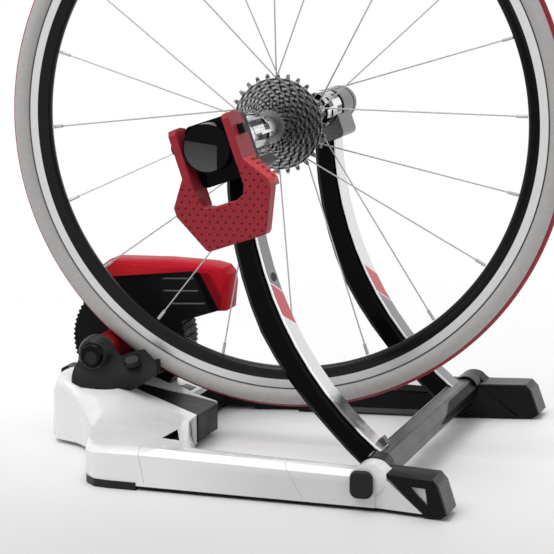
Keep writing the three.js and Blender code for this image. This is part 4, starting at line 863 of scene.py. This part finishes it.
def dress_spokes():
    """The spokes are thinner than their solids, as butted ones are."""
    for i in range(1, 21):
        spoke = NODES["spoke_%02d" % i]
        set_material(spoke, MATERIALS["spoke"])
        thinner = spoke.modifiers.new("butted", "DISPLACE")
        thinner.mid_level = 0.0
        thinner.strength = -0.0002


def dress_nodes():
    dress_spokes()
    for node, material in PLAIN.items():
        set_material(NODES[node], MATERIALS[material])
    for node, (material, width) in ROUNDED.items():
        add_rounded(node, material, width)


# The wheel's rings

def mirrored(points):
    return [(radius, -y) for radius, y in reversed(points)]


def lathe(name, section, segments=256):
    """A ring about the wheel's axis from (radius, y) points in millimetres."""
    bm = bmesh.new()
    rings = []
    for i in range(segments):
        turn = 2 * math.pi * i / segments
        cosine, sine = math.cos(turn), math.sin(turn)
        rings.append([bm.verts.new((r * cosine / 1000, y / 1000, r * sine / 1000)) for r, y in section])
    for i in range(segments):
        join_rings(bm, rings[i], rings[(i + 1) % segments])
    bmesh.ops.recalc_face_normals(bm, faces=bm.faces)
    bmesh.ops.transform(bm, matrix=Matrix.Translation(HUB), verts=bm.verts)
    return bake(bm, name)


def add_tyre():
    outer = [(304.3, 7.3), (310, 7.5), (316.3, 7.55), (318.4, 10.6), (322, 12.9), (326, 13.9), (330, 13.2),
             (333.2, 11.7), (336, 9.4), (338.3, 6.2), (339.6, 3.0), (340, 0)]
    inner = [(337.2, 0), (336.4, 3.2), (334, 6.6), (330, 9.6), (325.5, 11), (320.5, 9.7), (316.4, 5.5),
             (304.3, 5.1)]
    obj = lathe("tyre_skin", outer + mirrored(outer[:-1]) + mirrored(inner) + inner[1:])
    set_material(obj, MATERIALS["tyre"])
    shade(obj, 50)
    finish_piece(obj, "wheel", "tyre_rubber", "tyre")


def add_rim():
    side = [(291.5, 0), (291.7, 2.4), (292.4, 4.4), (294.2, 6.2), (298, 7.6), (305.9, 9.45), (306.2, 9.7),
            (315.6, 9.7), (316, 9.4), (316, 8.2), (315.6, 7.9), (304, 7.9), (304, 4.8), (303.7, 4.5),
            (301.5, 3.4)]
    obj = lathe("rim_skin", side + mirrored(side[1:]))
    set_material(obj, MATERIALS["rim"])
    shade(obj)
    finish_piece(obj, "wheel", "rim_black", "rim")


# Shells and crossbar

def add_shell(side):
    """A white shell with a lower hump over its pivot, and rounded edges."""
    hump_floor, hump_radius, lower, narrower = 0.0468, 0.0215, 0.55, 0.8
    node = "base_shell_" + side
    bm = bmesh.new()
    bm.from_mesh(NODES[node].data)
    clean(bm, merge=2e-5, flat=1.5)
    for vert in bm.verts:
        x, z = vert.co.x - PIVOT_X, vert.co.z
        if z > hump_floor and math.hypot(x, z - PIVOT_Z) < hump_radius:
            vert.co.z = hump_floor + lower * (z - hump_floor)
            vert.co.x = PIVOT_X + narrower * x
    obj = bake(bm, node + "_skin")
    if side == "far":
        cut_notch(obj)
    set_material(obj, MATERIALS["shell_" + side])
    shade(obj, 40)
    bevel(obj, 0.002, 3, 50)
    even = obj.modifiers.new("even", "WEIGHTED_NORMAL")
    even.keep_sharp = True
    replace_node(obj, node)


def add_crossbar():
    """The bar with its ridge, and the journals in the pivots."""
    section = [(-12.5, 12), (5, 12), (14.5, 3), (15.5, 0), (15.5, -8), (11, -12), (-11, -12), (-15.5, -8),
               (-15.5, 9)]
    journal_radius, journal_length = 0.009, 0.033
    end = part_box("crossbar")[1].y - HUB.y - journal_length
    bm = bmesh.new()
    rings = [[bm.verts.new((PIVOT_X + x / 1000, HUB.y + y, PIVOT_Z + z / 1000)) for x, z in section]
             for y in (-end, end)]
    join_rings(bm, *rings)
    bm.faces.new(rings[0])
    bm.faces.new(rings[1])
    for sign in (-1, 1):
        place = about_y((PIVOT_X, HUB.y + sign * (end + journal_length / 2), PIVOT_Z))
        bmesh.ops.create_cone(bm, cap_ends=True, segments=40, radius1=journal_radius, radius2=journal_radius,
                              depth=journal_length, matrix=place)
    bmesh.ops.recalc_face_normals(bm, faces=bm.faces)
    obj = bake(bm, "crossbar_skin")
    set_material(obj, MATERIALS["crossbar"])
    shade(obj, 20)
    bevel(obj, 0.0008, angle=20)
    replace_node(obj, "crossbar")


def add_bracket():
    """Small grey block at the foot of the near upright's plate."""
    center, size, lean = (0.166, HUB.y - 0.166, 0.0555), (0.011, 0.013, 0.010), math.radians(-38)
    bm = bmesh.new()
    place = Matrix.Translation(center) @ Matrix.Rotation(lean, 4, "Y")
    bmesh.ops.create_cube(bm, size=1.0, matrix=place @ Matrix.Diagonal((*size, 1.0)))
    obj = bake(bm, "upright_bracket")
    set_material(obj, MATERIALS["gunmetal"])
    bevel(obj, 0.0008)
    finish_piece(obj, NODES["crossbar"]["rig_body"], slot_of("crossbar"))


# Roller cradle

def mesh_arrays(mesh):
    """The places of a mesh's vertices, and the two ends of each edge."""
    places = np.empty(len(mesh.vertices) * 3)
    mesh.vertices.foreach_get("co", places)
    ends = np.empty(len(mesh.edges) * 2, dtype=int)
    mesh.edges.foreach_get("vertices", ends)
    return places.reshape(-1, 3), ends.reshape(-1, 2)


def share(value, start, end):
    """0 at the start, 1 at the end, and even between them."""
    return np.clip((value - start) / (end - start), 0, 1)


def beyond_cap(places, inner, outer):
    """How far each place lies beyond the cap's rim, as a share between two radii."""
    return share(np.hypot(places[:, 0] - CAP.x, places[:, 2] - CAP.z), inner, outer)


def slope_near_side(places):
    """Shortens the front arm's tip and slopes the near side down to the foot."""
    arm_end, arm_side, shorter = -0.165, HUB.y - 0.03, 0.8
    near_face, forward_slope, upward_slope, foot_tuck = HUB.y - 0.065, 0.020, 0.012, 0.026
    x, y, z = places.T
    x[:] = np.where((x > arm_end) & (y < arm_side), arm_end + shorter * (x - arm_end), x)
    along = share(x, -0.215, -0.140)
    rise = share(z, 0.074, 0.108)
    tuck = share(x, -0.195, -0.170) * share(z, 0.081, 0.067) ** 2
    slope = upward_slope * rise ** 2 * (3 - 2 * rise) * beyond_cap(places, 0.016, 0.021)
    y[:] = np.maximum(y, near_face + forward_slope * along ** 0.8 + slope + foot_tuck * tuck)


def resting(places):
    """Which vertices are on the underside: close to the lowest in their cell, seen from above."""
    cell, depth = 0.004, 0.0025
    cells = np.floor(places[:, :2] / cell).astype(int)
    cells -= cells.min(0)
    index = cells[:, 0] * (cells[:, 1].max() + 1) + cells[:, 1]
    lowest = np.full(index.max() + 1, np.inf)
    np.minimum.at(lowest, index, places[:, 2])
    return places[:, 2] < lowest[index] + depth


def relax(places, ends, soft, held):
    """Draws the soft vertices towards their neighbours, while the held ones keep their height."""
    rounds, pull = 70, 0.5
    degree = np.zeros(len(places))
    np.add.at(degree, ends.ravel(), 1)
    heights = places[:, 2].copy()
    for _ in range(rounds):
        total = np.zeros_like(places)
        np.add.at(total, ends[:, 0], places[ends[:, 1]])
        np.add.at(total, ends[:, 1], places[ends[:, 0]])
        places += pull * soft[:, None] * (total / degree[:, None] - places)
        places[held, 2] = heights[held]


def add_cradle():
    """The cradle as one moulding, whose near side runs out into its foot, with a cap and a knob."""
    voxel = 0.0013
    cap_size, knob_size = (0.0135, 0.012, 0.004), (0.0098, 0.0082, 0.005)
    knob_place, knob_lean = Vector((-0.1736, HUB.y - 0.0495, 0.1035)), math.radians(26)
    bm = bmesh.new()
    bm.from_mesh(NODES["roller_cradle"].data)
    obj = bake(bm, "roller_cradle_skin")
    remesh = obj.modifiers.new("remesh", "REMESH")
    remesh.mode = "VOXEL"
    remesh.voxel_size = voxel
    apply_modifiers(obj)
    mesh = obj.data
    places, ends = mesh_arrays(mesh)
    soft = share(HUB.y - places[:, 1], 0.044, 0.050) * beyond_cap(places, 0.019, 0.026)
    slope_near_side(places)
    relax(places, ends, soft, resting(places))
    mesh.vertices.foreach_set("co", places.ravel())
    bm = bmesh.new()
    bm.from_mesh(mesh)
    knob = Matrix.Translation(knob_place) @ Matrix.Rotation(knob_lean, 4, "X")
    for place, (low, high, depth) in ((about_y(CAP), cap_size), (knob, knob_size)):
        bmesh.ops.create_cone(bm, cap_ends=True, segments=40, radius1=low, radius2=high, depth=depth,
                              matrix=place)
    bm.to_mesh(mesh)
    bm.free()
    set_material(obj, MATERIALS["charcoal"])
    shade(obj, 50)
    replace_node(obj, "roller_cradle")


# Floor and light

def seen_by_eye(nodes, links):
    """1 for camera, glossy and transmission rays, 0 for the rays that light the object."""
    path = nodes.new("ShaderNodeLightPath")
    total = path.outputs["Is Camera Ray"]
    for name in ("Is Glossy Ray", "Is Transmission Ray"):
        both = nodes.new("ShaderNodeMath")
        both.operation = "MAXIMUM"
        links.new(total, both.inputs[0])
        links.new(path.outputs[name], both.inputs[1])
        total = both.outputs[0]
    return total


def add_floor():
    """A pale floor with painted shade towards the front, that glows white far from the object."""
    shaded_front, lit_rear = -700, 200
    glow_start, glow_end = 450, 1300
    bm = bmesh.new()
    bmesh.ops.create_grid(bm, x_segments=1, y_segments=1, size=20.0)
    floor = bake(bm, "studio_floor")
    m = Material("studio_floor", grey(0.8))
    x, y, _ = m.millimetres()
    # Painted shade: the floor is darker towards the front
    m.number("Base Color", m.mix(m.ramp(y, shaded_front, lit_rear, smooth=True), grey(0.56), grey(0.88)))
    m.number("Roughness", m.uneven(m.noise(3.0, 2.0), 0.5, 0.6))
    glow = m.node("ShaderNodeEmission")
    mixer = m.node("ShaderNodeMixShader")
    eye = seen_by_eye(m.tree.nodes, m.tree.links)
    m.link(m.times(eye, m.ramp(m.distance(x, y), glow_start, glow_end, smooth=True)), mixer.inputs[0])
    m.link(m.bsdf.outputs[0], mixer.inputs[1])
    m.link(glow.outputs[0], mixer.inputs[2])
    m.link(mixer.outputs[0], m.out.inputs[0])
    set_material(floor, m.material)


def area(name, location, target, size, power):
    data = bpy.data.lights.new(name, "AREA")
    data.shape = "RECTANGLE"
    data.size, data.size_y = size
    data.energy = power
    light = bpy.data.objects.new(name, data)
    scene.collection.objects.link(light)
    light.location = location
    light.rotation_euler = (Vector(target) - Vector(location)).to_track_quat("-Z", "Y").to_euler()


def add_lights():
    world_light, world_seen = 0.6, 1.0
    world = bpy.data.worlds.new("studio")
    scene.world = world
    world.use_nodes = True
    nodes, links = world.node_tree.nodes, world.node_tree.links
    background = nodes["Background"]
    background.inputs[0].default_value = (1, 1, 1, 1)
    strength = nodes.new("ShaderNodeMapRange")
    links.new(seen_by_eye(nodes, links), strength.inputs["Value"])
    strength.inputs["To Min"].default_value = world_light
    strength.inputs["To Max"].default_value = world_seen
    links.new(strength.outputs["Result"], background.inputs[1])
    area("key", location=(-1.2, -1.6, 3.2), target=(0, 0, 0.3), size=(2.0, 2.0), power=60)
    area("fill", location=(2.6, -1.6, 1.6), target=(0, 0, 0.3), size=(1.4, 1.8), power=8)
    area("top", location=(-0.4, 0.5, 3.2), target=(0, 0, 0.1), size=(2.4, 2.4), power=30)


add_camera()
dress_nodes()
add_tyre()
add_rim()
add_cradle()
add_shell("near")
add_shell("far")
add_crossbar()
add_bracket()
add_floor()
add_lights()

scene.view_settings.view_transform = "Standard"
